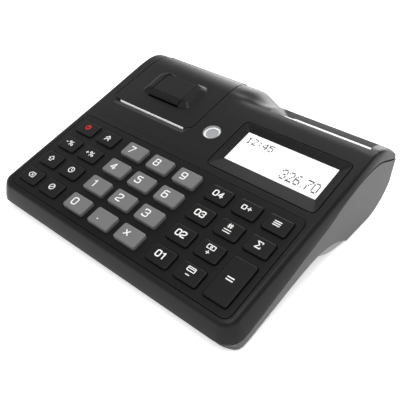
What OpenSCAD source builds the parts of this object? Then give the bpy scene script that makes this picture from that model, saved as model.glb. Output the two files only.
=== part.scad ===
// Compact ticket register: a sloping deck with keys, a display and a clamshell printer.
// The table is at z = 0, +Y points to the rear. Deck parts are drawn in the deck's own frame,
// where x runs right, y up the slope from the front lip, and z out of the deck plane.

/* [Case] */
// Width across the lip of the top case
case_w = 187.1; // [184:0.1:196]
// Depth from the front lip to the rear wall
case_d = 163.7; // [160:0.1:170]
// Slope of the deck
deck_tilt = 14.5; // [13.5:0.1:15.5]
// Height of the deck plane above the table, over the front lip
deck_h = 16.75; // [16:0.05:19]
// Wall thickness of both cases
wall = 2.2; // [1.8:0.1:2.6]
// Gap at the parting line between the two cases
seam = 0.3; // [0.2:0.05:0.6]
// Depth of the front lip below the deck plane
lip_drop = 10.7; // [9.5:0.1:12]
// Run of the sloping front face
front_run = 5.1; // [3:0.1:7]
// Inset of the deck's side edge from the lip, at the front
edge_front = 4.5; // [3:0.1:6]
// Inset of the deck's side edge from the lip, at the rear ridge
edge_rear = 1.5; // [1:0.1:3]
// Slope of the side faces
side_slope = 66.5; // [60:0.5:75]
// Distance of the rear ridge ahead of the rear wall
ridge_back = 24.6; // [23:0.1:26]
// Height of the parting line above the table at the rear
rear_lip_h = 35; // [33:0.5:37]
// Radius of the front corners in plan
corner_front = 11.7; // [8:0.1:14]
// Radius of the rear corners in plan
corner_rear = 4; // [3:0.1:8]
// Inset of the bottom case from the lip
base_inset = 0.8; // [0.5:0.1:1.5]
// Clearance of the printer's drive bay over the arch under the keypad
arch_gap = 0.72; // [0.6:0.02:1.2]
// Radius of the belly behind the arch
belly_r = 63.6; // [60:0.5:66]
// Radius of the rear lower edge
heel_r = 28.6; // [24:0.2:32]
// Distance of the belly's centre ahead of the centre of the rear lower edge
belly_run = 63.1; // [60:0.1:66]

/* [Keypad] */
// Land between the keypad panel and the lip, at each side
side_land = 7.8; // [7:0.1:8.5]
// Front edge of the keypad panel
panel_y = 8.2; // [7.8:0.1:9]
// Land between the keypad panel and the display bezel
rear_land = 5.8; // [5:0.1:7]
// Thickness of the keypad panel and the display bezel
panel_t = 2; // [1.6:0.1:2.4]
// Corner radius of the panel and the bezel
panel_r = 4; // [2:0.5:6]
// Gap around the panel and the bezel
panel_gap = 0.25; // [0.15:0.05:0.4]
// Land between two columns of dark keys
key_land = 4.4; // [4:0.05:5]
// Land between two columns of grey keys
number_land = 4.9; // [4.5:0.05:5.5]
// Land between two rows of keys
row_land = 5.05; // [4.5:0.05:5.5]
// How much wider a grey key is than a dark key
number_extra = 1.3; // [1:0.1:1.6]
// How far the dark keys stand out of the panel
key_rise = 1.1; // [0.8:0.1:2]
// How far the grey keys stand out of the panel
number_rise = 2.1; // [1:0.1:3]
// Land between the panel's front edge and the front row of keys
row_front = 4.5; // [4:0.1:5]
// Land between the rear row of keys and the panel's rear edge
row_back = 5.05; // [4.5:0.05:5.5]
// Land between the panel's left edge and the dark keys
left_land = 4.35; // [4:0.05:5]
// Land between the panel's right edge and the dark keys
right_land = 3.95; // [3.5:0.05:4.5]
// Land between the grey keys and the dark keys to their left
group_left = 8.55; // [8:0.05:9]
// Land between the grey keys and the dark keys to their right
group_right = 7.75; // [7.5:0.05:9]
// Travel of a key
key_travel = 1; // [0.6:0.1:1.2]
// Gap around a key in its opening
key_gap = 0.3; // [0.2:0.05:0.4]
// Width of the rim that holds a key under the panel
key_rim = 0.8; // [0.6:0.1:1]
// Thickness of the key mat
mat_t = 1.2; // [0.8:0.1:1.6]
// Thickness of the circuit board
board_t = 1.6; // [1:0.1:2]

/* [Displays] */
// Land between the round seal's centre and the display bezel
bezel_left = 13.35; // [13:0.05:14]
// Land between the display bezel and the lip
bezel_right = 7.9; // [7.5:0.1:8.5]
// Front edge of the display bezel ahead of the ridge
bezel_back = 56.4; // [55.5:0.1:57]
// Height of the display bezel along the slope
bezel_h = 40.75; // [39:0.05:42]
// Width of the display bezel beside its window
window_side = 5.575; // [5:0.025:7]
// Height of the display window
window_h = 25.2; // [23:0.1:27]
// Centre of the display window ahead of the ridge
window_back = 33.9; // [33:0.1:35]
// Thickness of both display lenses
glass_t = 1; // [0.8:0.1:1.2]
// Thickness of both display modules
module_t = 4; // [3:0.1:5]
// Land between the round seal's centre and the customer window
customer_left = 30.75; // [30:0.05:34]
// Land between the customer window and the lip
customer_right = 6.55; // [6:0.05:8]
// Height of the customer window down the rear slope
customer_h = 16; // [14:0.5:17]
// Slope of the customer window below the deck plane
customer_slope = 41; // [38:0.5:44]

/* [Printer] */
// Land between the printer cover and the lip
cover_left = 9.6; // [9:0.05:10]
// Width of the printer cover
cover_w = 69.2; // [68.8:0.1:69.6]
// Front edge of the printer cover behind the paper
cover_front = 0.7; // [0.5:0.1:1]
// Thickness of the printer cover
cover_t = 2.4; // [2:0.1:2.8]
// Gap around the printer cover
cover_gap = 0.4; // [0.3:0.05:0.6]
// Opening angle of the printer cover
cover_open = 85; // [60:1:90]
// Hinge axis of the cover behind the ridge
hinge_run = 18.1; // [17.7:0.1:18.5]
// Depth of the hinge axis below the deck plane
hinge_drop = 8.3; // [8:0.1:8.7]
// Radius of the hinge barrel
barrel_r = 2.5; // [2.2:0.1:2.8]
// Radius of the hinge pin
pin_r = 1; // [0.8:0.05:1.2]
// Running clearance of shafts and pins, on the radius
running = 0.06; // [0.03:0.01:0.1]
// Half width of the raised pad at its foot
pad_half = 21.2; // [20:0.1:22]
// Rise of the pad and the latch above the cover
pad_rise = 2.5; // [1.5:0.1:3]
// Width of the latch tab
latch_w = 25.8; // [22:0.1:27]
// Front edge of the latch tab ahead of the ridge
latch_back = 26.8; // [26:0.1:27.2]
// Length of the latch tab
latch_l = 21.7; // [20:0.1:22]
// Gap around the latch tab
latch_gap = 0.35; // [0.25:0.05:0.5]
// Width of the paper
paper_w = 57; // [56:0.5:57.5]
// Centre of the paper to the right of the cover's centre
paper_shift = 1.9; // [1.7:0.05:2.1]
// Thickness of the paper
paper_t = 0.12; // [0.1:0.01:0.2]
// Paper line ahead of the ridge
paper_back = 40.9; // [40.5:0.05:41.3]
// Paper standing above the deck
paper_rise = 1; // [0.5:0.1:2]
// Radius of the paper roll
roll_r = 15.5; // [12:0.1:16.5]
// Clearance of the paper bucket over the floor of the case
bucket_gap = 2.7; // [2:0.1:3.5]
// Radius of the paper bucket
bucket_r = 18.2; // [17.5:0.1:18.6]
// Wall thickness of the printer tray
tray_t = 1.6; // [1.2:0.1:1.8]
// Radius of the platen roller
platen_r = 4.6; // [4.2:0.1:4.8]
// Radius of the platen shaft
shaft_r = 1.5; // [1.3:0.1:1.8]
// Platen axis behind the paper
platen_back = 5; // [4.8:0.1:5.2]
// Depth of the platen axis below the deck plane
platen_drop = 9.8; // [9.6:0.1:10]
// Module of the paper drive gears
gear_module = 0.5; // [0.45:0.01:0.52]
// Teeth of the platen gear
platen_teeth = 20; // [18:1:20]
// Teeth of the drive gear
drive_teeth = 22; // [20:1:22]
// Radius of the feed motor
motor_r = 5; // [4:0.1:5.2]
// Length of the feed motor
motor_l = 18; // [14:0.5:24]

/* [Small parts] */
// Radius of the round seal
seal_r = 5.7; // [5:0.1:6]
// Land between the printer cover and the round seal's centre
seal_left = 14; // [13:0.05:15]
// Centre of the round seal ahead of the ridge
seal_back = 34.1; // [32:0.1:36]
// Radius of a case screw
screw_r = 1.5; // [1.2:0.1:1.6]
// Length of a case screw's shank
screw_l = 9; // [8.5:0.1:9.2]
// Thickness of the rubber feet under the flat of the belly
foot_t = 0.5; // [0.4:0.1:0.8]
// Width of the battery pack
battery_w = 60; // [50:1:62]
// Depth of the battery pack
battery_d = 24; // [20:0.5:24]
// Height of the battery pack
battery_h = 12; // [10:0.5:14]
// Thickness of the battery door
door_t = 1.6; // [1.2:0.1:1.8]

/* [Hidden] */
$fn = 48;
eps = 0.01;
far = 300;

// The origin is the centre of the box on the table.
half_w = case_w / 2;
ridge_y = case_d - ridge_back;
mid_y = lip_drop * sin(deck_tilt) + case_d / 2;
rear_table = lip_drop * sin(deck_tilt) + case_d;
function to_table(p) = [p[0] * cos(deck_tilt) - p[1] * sin(deck_tilt),
                        deck_h + p[0] * sin(deck_tilt) + p[1] * cos(deck_tilt)];
function to_deck(p) = [p[0] * cos(deck_tilt) + (p[1] - deck_h) * sin(deck_tilt),
                       (p[1] - deck_h) * cos(deck_tilt) - p[0] * sin(deck_tilt)];
rear_lip = to_deck([rear_table, rear_lip_h]);

// Parting line, from the front lip over the side bulge to the rear lip.
part_line = [[0, -lip_drop], [ridge_y - 50.6, -7.5], [ridge_y - 39.6, -5],
             [ridge_y - 20.1, -4.5], [ridge_y - 2.1, -7.8], rear_lip];

// Plates of the deck, from the left to the right and from the front to the ridge.
panel_w = case_w - 2 * side_land;
cover_x = cover_left - half_w;
seal_x = cover_x + cover_w + seal_left;
bezel_x = seal_x + bezel_left;
bezel_w = half_w - bezel_right - bezel_x;
bezel_y = ridge_y - bezel_back;
window_w = bezel_w - 2 * window_side;
window_y = ridge_y - window_back;
panel_h = bezel_y - panel_y - rear_land;
customer_w = half_w - customer_right - seal_x - customer_left;
customer_x = half_w - customer_right - customer_w / 2;
seal_y = ridge_y - seal_back;
hinge_y = ridge_y + hinge_run;
latch_y = ridge_y - latch_back;
paper_y = ridge_y - paper_back;
cover_y = paper_y + cover_front;
platen_y = paper_y + platen_back;

// Keys: four rows and eight columns share what the lands leave of the panel.
key_h = (panel_h - row_front - row_back - 3 * row_land) / 4;
row_pitch = key_h + row_land;
row_y = panel_y + row_front + key_h / 2;
lands = left_land + right_land + group_left + group_right + 3 * key_land + 2 * number_land;
key_w = (panel_w - lands - 3 * number_extra) / 8;
number_w = key_w + number_extra;
key_pitch = key_w + key_land;
number_pitch = number_w + number_land;
left_x = left_land + key_w / 2 - panel_w / 2;
right_x = panel_w / 2 - right_land - key_w / 2;
number_x = right_x - 2 * key_pitch - key_w / 2 - group_right - number_w / 2 - number_pitch;
left_cols = [left_x, left_x + key_pitch];
right_cols = [right_x - 2 * key_pitch, right_x - key_pitch, right_x];
number_cols = [number_x - number_pitch, number_x, number_x + number_pitch];
function row(i) = row_y + i * row_pitch;
key_r = 1.6;
// Name, x, row from the front, grey, height in rows.
KEYS = [
    ["key_power", left_cols[0], 3, false, 1], ["key_discount", left_cols[0], 2, false, 1],
    ["key_shift", left_cols[0], 1, false, 1], ["key_clear", left_cols[0], 0, false, 1],
    ["key_feed", left_cols[1], 3, false, 1], ["key_surcharge", left_cols[1], 2, false, 1],
    ["key_clock", left_cols[1], 1, false, 1], ["key_void", left_cols[1], 0, false, 1],
    ["key_0", number_cols[0], 0, true, 1], ["key_point", number_cols[1], 0, true, 1],
    ["key_quantity", number_cols[2], 0, true, 1], ["key_1", number_cols[0], 1, true, 1],
    ["key_2", number_cols[1], 1, true, 1], ["key_3", number_cols[2], 1, true, 1],
    ["key_4", number_cols[0], 2, true, 1], ["key_5", number_cols[1], 2, true, 1],
    ["key_6", number_cols[2], 2, true, 1], ["key_7", number_cols[0], 3, true, 1],
    ["key_8", number_cols[1], 3, true, 1], ["key_9", number_cols[2], 3, true, 1],
    ["key_dept_4", right_cols[0], 3, false, 1], ["key_dept_3", right_cols[0], 2, false, 1],
    ["key_dept_2", right_cols[0], 1, false, 1], ["key_dept_1", right_cols[0], 0, false, 1],
    ["key_menu", right_cols[1], 3, false, 1], ["key_lookup", right_cols[1], 2, false, 1],
    ["key_pay_1", right_cols[1], 1, false, 1], ["key_pay_2", right_cols[1], 0, false, 1],
    ["key_price", right_cols[2], 3, false, 1], ["key_subtotal", right_cols[2], 2, false, 1],
    ["key_total", right_cols[2], 0.5, false, 2],
];
function key_size(k) = [k[3] ? number_w : key_w, key_h + (k[4] - 1) * row_pitch];
rim_t = 1.2;
stem_r = 2;
well_r = 2.6;
mat_top = -(panel_t + key_gap + rim_t + key_travel + 0.3);
board_top = mat_top - mat_t;
board_bottom = board_top - board_t;
board_y = [5.6, bezel_y + 3.3];
board_half = half_w - edge_front - wall - 2.2;
ledge_w = 2.5;
ledge_t = 1.6;
ledge_lap = 1.5;

// Printer: places that several pieces share.
cover_cx = cover_x + cover_w / 2;
paper_x = cover_cx + paper_shift;
paper_l = paper_x - paper_w / 2;
paper_r = paper_x + paper_w / 2;
mesh_slack = 0.12;
gear_dist = gear_module * (platen_teeth + drive_teeth) / 2 + mesh_slack;
drive_dir = 250;
drive_y = platen_y + gear_dist * cos(drive_dir);
drive_z = -platen_drop + gear_dist * sin(drive_dir);
arm_t = 1.6;
arm_l = paper_l - 1.05 - arm_t;
arm_r = paper_r + 1.05;
arm_foot = -platen_drop - 3;
gear_t = 2.5;
gear_x = arm_l - 0.5 - gear_t;
bucket_y = ridge_y - 12.1;
bucket_h = foot_t + wall + bucket_gap + tray_t + bucket_r;
bucket = [bucket_y, (bucket_h - deck_h - bucket_y * sin(deck_tilt)) / cos(deck_tilt)];
guide_gap = 0.4;
roll_rest = 0.3;
roll_drop = bucket_r - roll_r - roll_rest;
roll = [bucket[0] - roll_drop * sin(deck_tilt), bucket[1] - roll_drop * cos(deck_tilt)];
tray_l = cover_x - 1.05 - tray_t;
tray_r = cover_x + cover_w + 1.05;
tray_front = paper_y - 7;
floor_z = drive_z - gear_module * (drive_teeth / 2 + 0.85) - 0.4;
cheek_top = arm_foot - 0.5;
shelf_z = -hinge_drop - barrel_r - 2.6;
head_pivot = [paper_y - 3.7, -15.6];
head_pin_r = 0.9;
head_y = paper_y - 4.6;
head_back = head_y + 1.8;
head_face = paper_y - 0.35;
latch_axis = [latch_y + latch_l - 2.4, 0];
latch_pin_r = 1;
pocket_y = 0.5;
socket_d = 11;

// Screws: x, y, depth of the head's seat, depth of the split between the two bosses.
screw_x = half_w - 33.55;
SCREWS = [
    [-screw_x, 7.8, -12.1, board_bottom], [screw_x, 7.8, -12.1, board_bottom],
    [-screw_x, bezel_y - 2.9, -12.1, board_bottom], [screw_x, bezel_y - 2.9, -12.1, board_bottom],
    [seal_x - 6.25, ridge_y - 9.1, -22, -17.5], [half_w - 9.55, ridge_y - 11.3, -22, -17.5],
];
// Lower end of the top case's boss: on the board, or on the other boss.
function screw_top(s) = s[3] == board_bottom ? board_top : s[3];
boss_r = 3;
screw_fit = 0.05;
head_r = 2.75;
head_t = 2;
head_well_r = 3.1;
base_boss_r = head_well_r + 0.8;

// Frames

module deck() {
    translate([0, -mid_y, deck_h]) rotate([deck_tilt, 0, 0]) children();
}

module table() {
    translate([0, -mid_y, 0]) children();
}

// Runs down the customer window from the ridge, with z out of the window.
module window_frame() {
    deck() translate([customer_x, ridge_y, 0]) rotate([-customer_slope, 0, 0]) children();
}

// Shapes

function arc(c, r, a0, a1, n) =
    [for (i = [0 : n]) c + r * [cos(a0 + (a1 - a0) * i / n), sin(a0 + (a1 - a0) * i / n)]];

function curve(p, n) = [for (i = [0 : n]) let (t = i / n, s = 1 - t)
    s * s * s * p[0] + 3 * s * s * t * p[1] + 3 * s * t * t * p[2] + t * t * t * p[3]];

// Extrudes a (y, z) outline across the case from x0 to x1.
module across(x0, x1, points) {
    translate([x0, 0, 0]) rotate([90, 0, 90]) linear_extrude(x1 - x0) polygon(points);
}

module rod(x0, x1, r) {
    translate([x0, 0, 0]) rotate([0, 90, 0]) cylinder(r = r, h = x1 - x0);
}

module block(lo, hi) {
    translate(lo) cube(hi - lo);
}

// Rounded plate in the deck plane.
module plate(x0, x1, y0, y1, z0, z1, r) {
    points = concat(arc([x1 - r, y0 + r], r, -90, 0, 6), arc([x1 - r, y1 - r], r, 0, 90, 6),
                    arc([x0 + r, y1 - r], r, 90, 180, 6), arc([x0 + r, y0 + r], r, 180, 270, 6));
    translate([0, 0, z0]) linear_extrude(z1 - z0) polygon(points);
}

// Cases

// Plan of the case, inset by t.
module plan(t) {
    rf = corner_front - t;
    rr = max(corner_rear - t, 0.5);
    w = half_w - t;
    d = case_d / 2 - t;
    points = concat(
        arc([w - rf, rf - d], rf, -90, 0, 10), arc([w - rr, d - rr], rr, 0, 90, 5),
        arc([rr - w, d - rr], rr, 90, 180, 5), arc([rf - w, rf - d], rf, 180, 270, 10));
    translate([0, 0, -far / 4]) linear_extrude(far / 2) polygon(points);
}

// Side of the case over the displays, inset by t.
function display_side(t) = concat(
    [[rear_lip[0], -far / 4], [front_run - lip_drop, -far / 4]],
    [[t * 1.1, -lip_drop], [front_run + t * 0.5, -t]],
    curve([[ridge_y - t * 0.3, -t], [ridge_y + 5.9 - t * 0.5, -0.6 - t],
           [ridge_y + 20.4 - t * 0.8, -13.5 - t * 0.6], rear_lip - [t, t * 0.4]], 12));

// Side of the case over the printer, where the hump covers the hinge.
function printer_side(t) = concat(
    [[rear_lip[0], -far / 4], [ridge_y - 60, -far / 4]],
    [[ridge_y - 60, -t]],
    curve([[ridge_y - t * 0.3, -t], [ridge_y + 12 - t * 0.5, -0.3 - t],
           [ridge_y + 25.2 - t, -8.5 - t * 0.5], rear_lip - [t, t * 0.4]], 12));
hump_x = cover_x + cover_w + 2.5;

// Cuts the sloping side face off the right side.
module side_cut(t) {
    flare = atan((edge_front - edge_rear) / ridge_y);
    translate([half_w - edge_front - t / sin(side_slope), 0, 0])
    rotate([0, 0, -flare]) rotate([0, side_slope - 90, 0])
    translate([0, -far / 2, -far / 2]) cube([far / 2, far, far]);
}

module top_solid(t) {
    intersection() {
        deck() difference() {
            union() {
                across(-half_w, half_w, display_side(t));
                difference() {
                    across(-half_w, hump_x + 33 - t, printer_side(t));
                    translate([hump_x - t, ridge_y, 0]) rotate([0, 0, -50])
                    rotate([0, -35, 0]) translate([0, -far / 2, -far / 2]) cube([far / 2, far, far]);
                }
            }
            side_cut(t);
            mirror([1, 0, 0]) side_cut(t);
        }
        plan(t);
    }
}

module boss(s, r, z0, z1) {
    translate([s[0], s[1], z0]) cylinder(r = r, h = z1 - z0);
}

// Ring under an opening of the deck that carries a flush plate.
module ledge(x0, x1, y0, y1) {
    difference() {
        block([x0 - ledge_lap, y0 - ledge_lap, -panel_t - ledge_t],
              [x1 + ledge_lap, y1 + ledge_lap, -panel_t]);
        block([x0 + ledge_w, y0 + ledge_w, -far], [x1 - ledge_w, y1 - ledge_w, far]);
    }
}

module panel_cut(x0, x1, y0, y1, z0) {
    plate(x0 - panel_gap, x1 + panel_gap, y0 - panel_gap, y1 + panel_gap, z0, far, panel_r + panel_gap);
}

module top_case() {
    color("#3c3c3e") difference() {
        union() {
            difference() {
                intersection() {
                    top_solid(0);
                    deck() across(-far, far, concat(part_line, [[far, -lip_drop], [far, far],
                                                                [-far, far], [-far, -lip_drop]]));
                }
                top_solid(wall);
            }
            intersection() {
                top_solid(0.4);
                union() {
                    deck() ledge(-panel_w / 2, panel_w / 2, panel_y, panel_y + panel_h);
                    deck() ledge(bezel_x, bezel_x + bezel_w, bezel_y, bezel_y + bezel_h);
                    deck() for (s = SCREWS) boss(s, boss_r, screw_top(s), -wall / 2);
                    window_frame() block([-customer_w / 2 - 3, -1, -3.2],
                                         [customer_w / 2 + 3, customer_h + 3.4, 6]);
                }
            }
        }
        deck() {
            panel_cut(-panel_w / 2, panel_w / 2, panel_y, panel_y + panel_h, -panel_t);
            panel_cut(-panel_w / 2 + ledge_w, panel_w / 2 - ledge_w, panel_y + ledge_w,
                      panel_y + panel_h - ledge_w, -panel_t - ledge_t - 1);
            panel_cut(bezel_x, bezel_x + bezel_w, bezel_y, bezel_y + bezel_h, -panel_t);
            panel_cut(bezel_x + ledge_w, bezel_x + bezel_w - ledge_w, bezel_y + ledge_w,
                      bezel_y + bezel_h - ledge_w, -panel_t - ledge_t - 1);
            // Printer opening and the shallow ramp in front of the slot
            block([cover_x - cover_gap, paper_y - 0.6, -barrel_r - hinge_drop - 0.4],
                  [cover_x + cover_w + cover_gap, hinge_y + barrel_r + cover_gap, far]);
            block([paper_l - 4.5, paper_y - 0.7, -0.9], [paper_r + 0.5, paper_y, far]);
            translate([paper_l - 4.5, paper_y - 3.4, 0]) rotate([-15, 0, 0])
            cube([paper_w + 5, 3.6, 4]);
            translate([seal_x, seal_y, -far / 4]) cylinder(r = seal_r + panel_gap, h = far);
            for (s = SCREWS) boss(s, screw_r + screw_fit, s[2] - 1, s[2] + screw_l + 0.3);
        }
        window_frame() {
            block([-customer_w / 2, pocket_y, -glass_t], [customer_w / 2, customer_h + pocket_y, 20]);
            block([-customer_w / 2 + 1.5, pocket_y + 1.5, -10],
                  [customer_w / 2 - 1.5, customer_h + pocket_y - 1.5, 0]);
        }
    }
}

// Side outline of the bottom case on the table, inset by t.
flat_z = foot_t;
heel_c = [rear_table - base_inset - heel_r, flat_z + heel_r];
belly_y = heel_c[0] - belly_run;
bay_corner = to_table([tray_front, floor_z - tray_t]);
belly_rise = sqrt(pow(belly_r + wall, 2) - pow(bay_corner[0] - belly_y, 2));
belly_c = [belly_y, bay_corner[1] - arch_gap - belly_rise];
arch_h = belly_c[1] + belly_r - 0.5;
belly_end = asin((flat_z - belly_c[1]) / belly_r);
lip_front = to_table([0, -lip_drop]);
function base_side(t) = concat(
    [[lip_front[0] + base_inset + t, far / 4], [lip_front[0] + base_inset + t, lip_front[1] - 0.4],
     [lip_front[0] + 4 + t, 2 + t], [10 + t, 0.3 + t]],
    [[belly_c[0] - 9.9, arch_h - 0.9 + t], [belly_c[0] - 1.9, arch_h + t]],
    arc(belly_c, belly_r + t, 83.4, belly_end, 8),
    arc(heel_c, heel_r - t, -90, 0, 10),
    [[heel_c[0] + heel_r - t, far / 4]]);

module base_solid(t) {
    intersection() {
        table() across(-far, far, base_side(t));
        plan(base_inset + t);
    }
}

battery_cx = half_w - 47.05;
battery_x = [battery_cx - battery_w / 2, battery_cx + battery_w / 2];
flat_mid = (belly_c[0] + belly_r * cos(belly_end) + heel_c[0]) / 2;
battery_y = [flat_mid - battery_d / 2, flat_mid + battery_d / 2];
bay_gap = 0.5;
bay_wall = 1.5;
door_gap = 0.3;
bay_h = 8;

// Sockets in the rear wall, right of the printer: x, height, width, height of the mouth.
socket_z = rear_lip_h - 15;
socket_x = tray_r + tray_t + 8.1;
SOCKETS = [[socket_x, socket_z, 10, 8], [socket_x + 24, socket_z, 12, 8.5]];
jack = [socket_x + 46, socket_z];
jack_r = 2.75;
socket_shell = 1.2;
socket_gap = 0.2;
socket_y = rear_table - base_inset - socket_d - wall;

module battery_bay(grow, z0, z1) {
    block([battery_x[0] - grow, battery_y[0] - grow, z0],
          [battery_x[1] + grow, battery_y[1] + grow, z1]);
}

module bottom_case() {
    color("#8a8b8c") difference() {
        union() {
            difference() {
                intersection() {
                    base_solid(0);
                    deck() across(-far, far, concat([for (p = part_line) p - [0, seam]],
                        [[far, rear_lip[1] - seam], [far, -far], [-far, -far],
                         [-far, -lip_drop - seam]]));
                }
                base_solid(wall);
            }
            intersection() {
                base_solid(0.4);
                deck() for (s = SCREWS) boss(s, base_boss_r, -far / 4, s[3]);
            }
            // Walls of the battery bay
            table() difference() {
                battery_bay(bay_gap + bay_wall, flat_z + eps, flat_z + door_t + bay_h);
                battery_bay(bay_gap, -far, far);
            }
        }
        deck() for (s = SCREWS) {
            boss(s, head_well_r, -far / 4, s[2]);
            boss(s, screw_r + 0.2, s[2] - 1, 0);
        }
        table() {
            battery_bay(bay_gap, -far, far);
            for (s = SOCKETS) socket_block(s, socket_gap);
            translate([jack[0], socket_y, jack[1]]) rotate([-90, 0, 0])
            cylinder(r = jack_r + socket_shell + socket_gap, h = far);
        }
    }
}

module socket_block(s, grow) {
    w = s[2] / 2 + socket_shell + grow;
    h = s[3] / 2 + socket_shell + grow;
    block([s[0] - w, socket_y, s[1] - h], [s[0] + w, rear_table + wall, s[1] + h]);
}

module battery_door() {
    grow = bay_gap - door_gap;
    color("#808182") table()
    block([battery_x[0] - grow, battery_y[0] - grow, flat_z],
          [battery_x[1] + grow, battery_y[1] + grow, flat_z + door_t]);
}

module battery_pack() {
    r = battery_h / 2;
    color("#3d6a3a") table() translate([battery_x[0], battery_y[0], flat_z + door_t]) {
        for (y = [r, battery_d - r]) translate([0, y, r]) rod(0, battery_w, r);
        translate([0, r, 0]) cube([battery_w, battery_d - battery_h, battery_h]);
    }
}

module rear_sockets() {
    color("#1c1c1e") intersection() {
        table() {
            for (s = SOCKETS) difference() {
                socket_block(s, 0);
                block([s[0] - s[2] / 2, socket_y + wall, s[1] - s[3] / 2],
                      [s[0] + s[2] / 2, far, s[1] + s[3] / 2]);
            }
            translate([jack[0], socket_y, jack[1]]) rotate([-90, 0, 0]) difference() {
                cylinder(r = jack_r + socket_shell, h = socket_d + wall);
                translate([0, 0, wall]) cylinder(r = jack_r, h = far);
            }
            // Board that carries the three sockets
            block([SOCKETS[0][0] - 8, socket_y - board_t, jack[1] - 8],
                  [jack[0] + 6, socket_y, jack[1] + 8]);
        }
        base_solid(0.3);
    }
}

pad_w = 12;
pad_l = 9;
pad_x = half_w - 23.55;
pad_front = 12;
pad_rear = heel_c[0] - 15;
skid_x = [half_w - 14.55, half_w - 5.55];
// Outline of a skid ahead of the belly's centre, cut to the belly by the bottom case.
skid = [[38.5, far / 8], [4.1, far / 8], [6.3, 12.2], [19.5, 6.8], [38.5, 0.6]];
module rubber_feet() {
    color("#3a3a3c") {
        // Front pads follow the slope of the bottom
        difference() {
            table() for (x = [-pad_x, pad_x])
                block([x - pad_w / 2, pad_front, 0], [x + pad_w / 2, pad_front + pad_l, 6]);
            base_solid(0);
        }
        table() for (x = [-pad_x, pad_x])
            block([x - pad_w / 2, pad_rear, 0], [x + pad_w / 2, pad_rear + pad_l, flat_z]);
    }
    // Pale skids under the front of the belly
    color("#d9d9da") difference() {
        table() for (side = [-1, 1])
            across(side > 0 ? skid_x[0] : -skid_x[1], side > 0 ? skid_x[1] : -skid_x[0],
                   [for (p = skid) [belly_c[0] + p[0], p[1]]]);
        base_solid(0);
    }
}

module case_screws() {
    color("#b9bcc0") deck() for (s = SCREWS) {
        boss(s, head_r, s[2] - head_t, s[2]);
        boss(s, screw_r, s[2] - eps, s[2] + screw_l);
    }
}

// Keypad

module key_hole(k, grow, z0, z1) {
    s = key_size(k);
    translate([k[1], row(k[2]), 0])
    plate(-s[0] / 2 - grow, s[0] / 2 + grow, -s[1] / 2 - grow, s[1] / 2 + grow, z0, z1, key_r + grow);
}

module key(name) {
    i = search([name], KEYS)[0];
    k = KEYS[i];
    s = key_size(k);
    rise = k[3] ? number_rise : key_rise;
    color(k[3] ? "#7c7d80" : "#2e2e30") deck() {
        key_hole(k, 0, -panel_t - key_gap - rim_t, rise);
        key_hole(k, key_gap + key_rim, -panel_t - key_gap - rim_t, -panel_t - key_gap);
        translate([k[1], row(k[2]), mat_top + 0.3 - 0.2])
        cylinder(r = stem_r, h = key_travel + 0.2 + eps);
    }
}

module keypad_panel() {
    color("#333335") deck() difference() {
        plate(-panel_w / 2, panel_w / 2, panel_y, panel_y + panel_h, -panel_t, 0, panel_r);
        for (k = KEYS) key_hole(k, key_gap, -far, far);
    }
}

module key_mat() {
    color("#6f7072") deck() difference() {
        plate(-panel_w / 2 + ledge_w + 0.5, panel_w / 2 - ledge_w - 0.5, panel_y + ledge_w + 0.3,
              panel_y + panel_h - ledge_w - 0.3, board_top, mat_top, panel_r);
        for (k = KEYS) translate([k[1], row(k[2]), -far / 2]) cylinder(r = well_r, h = far);
    }
}

module main_board() {
    color("#2f6b45") deck() difference() {
        union() {
            plate(-board_half, board_half, board_y[0], board_y[1], board_bottom, board_top, 2);
            for (x = [-30, 8, 40]) block([x, 40, board_bottom - 1.6], [x + 14, 54, board_bottom]);
        }
        for (s = SCREWS) boss(s, screw_r + 0.2, -far / 4, 0);
    }
}

// Displays

module display_bezel() {
    wx = bezel_x + bezel_w / 2;
    color("#4a4a4c") deck() difference() {
        plate(bezel_x, bezel_x + bezel_w, bezel_y, bezel_y + bezel_h, -panel_t, 0, panel_r);
        block([wx - window_w / 2, window_y - window_h / 2, -far],
              [wx + window_w / 2, window_y + window_h / 2, far]);
        hull() for (e = [0, 1]) translate([wx, window_y, -e])
            cube([window_w + 3 - 3 * e, window_h + 3 - 3 * e, eps], center = true);
    }
}

module_lap = 1;
module display_glass() {
    wx = bezel_x + bezel_w / 2;
    color("#c8d2c0") deck()
    block([wx - window_w / 2 - module_lap, window_y - window_h / 2 - module_lap, -panel_t - glass_t],
          [wx + window_w / 2 + module_lap, window_y + window_h / 2 + module_lap, -panel_t]);
}

module display_module() {
    wx = bezel_x + bezel_w / 2;
    color("#26382c") deck()
    block([wx - window_w / 2 - 2, board_y[1] + 2, -panel_t - glass_t - module_t],
          [wx + window_w / 2 + 2, window_y + window_h / 2 + 3, -panel_t - glass_t]);
}

module customer_glass() {
    color("#e8eaec") window_frame()
    block([-customer_w / 2 + 0.15, pocket_y + 0.15, -glass_t],
          [customer_w / 2 - 0.15, customer_h + pocket_y - 0.15, 0]);
}

module customer_module() {
    color("#26382c") window_frame()
    block([-customer_w / 2 + 1.8, pocket_y + 1.8, -glass_t - module_t],
          [customer_w / 2 - 1.8, customer_h + pocket_y - 1.8, -glass_t]);
}

// Printer

// Cover outline: flat to the ridge, then down over the hinge barrel.
function cover_line(t) = curve([[ridge_y, -t], [ridge_y + 6, -0.1 - t],
    [ridge_y + 12.5 - t * 0.5, -2.8 - t * 0.8],
    [hinge_y - 1.4 - t * 0.6, -hinge_drop + 2.1 - t * 0.7]], 8);
function cover_under() = cover_line(cover_t);

module latch_window(grow) {
    block([cover_cx - latch_w / 2 - grow, latch_y - grow, -far],
          [cover_cx + latch_w / 2 + grow, latch_y + latch_l + grow, far]);
}

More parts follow.
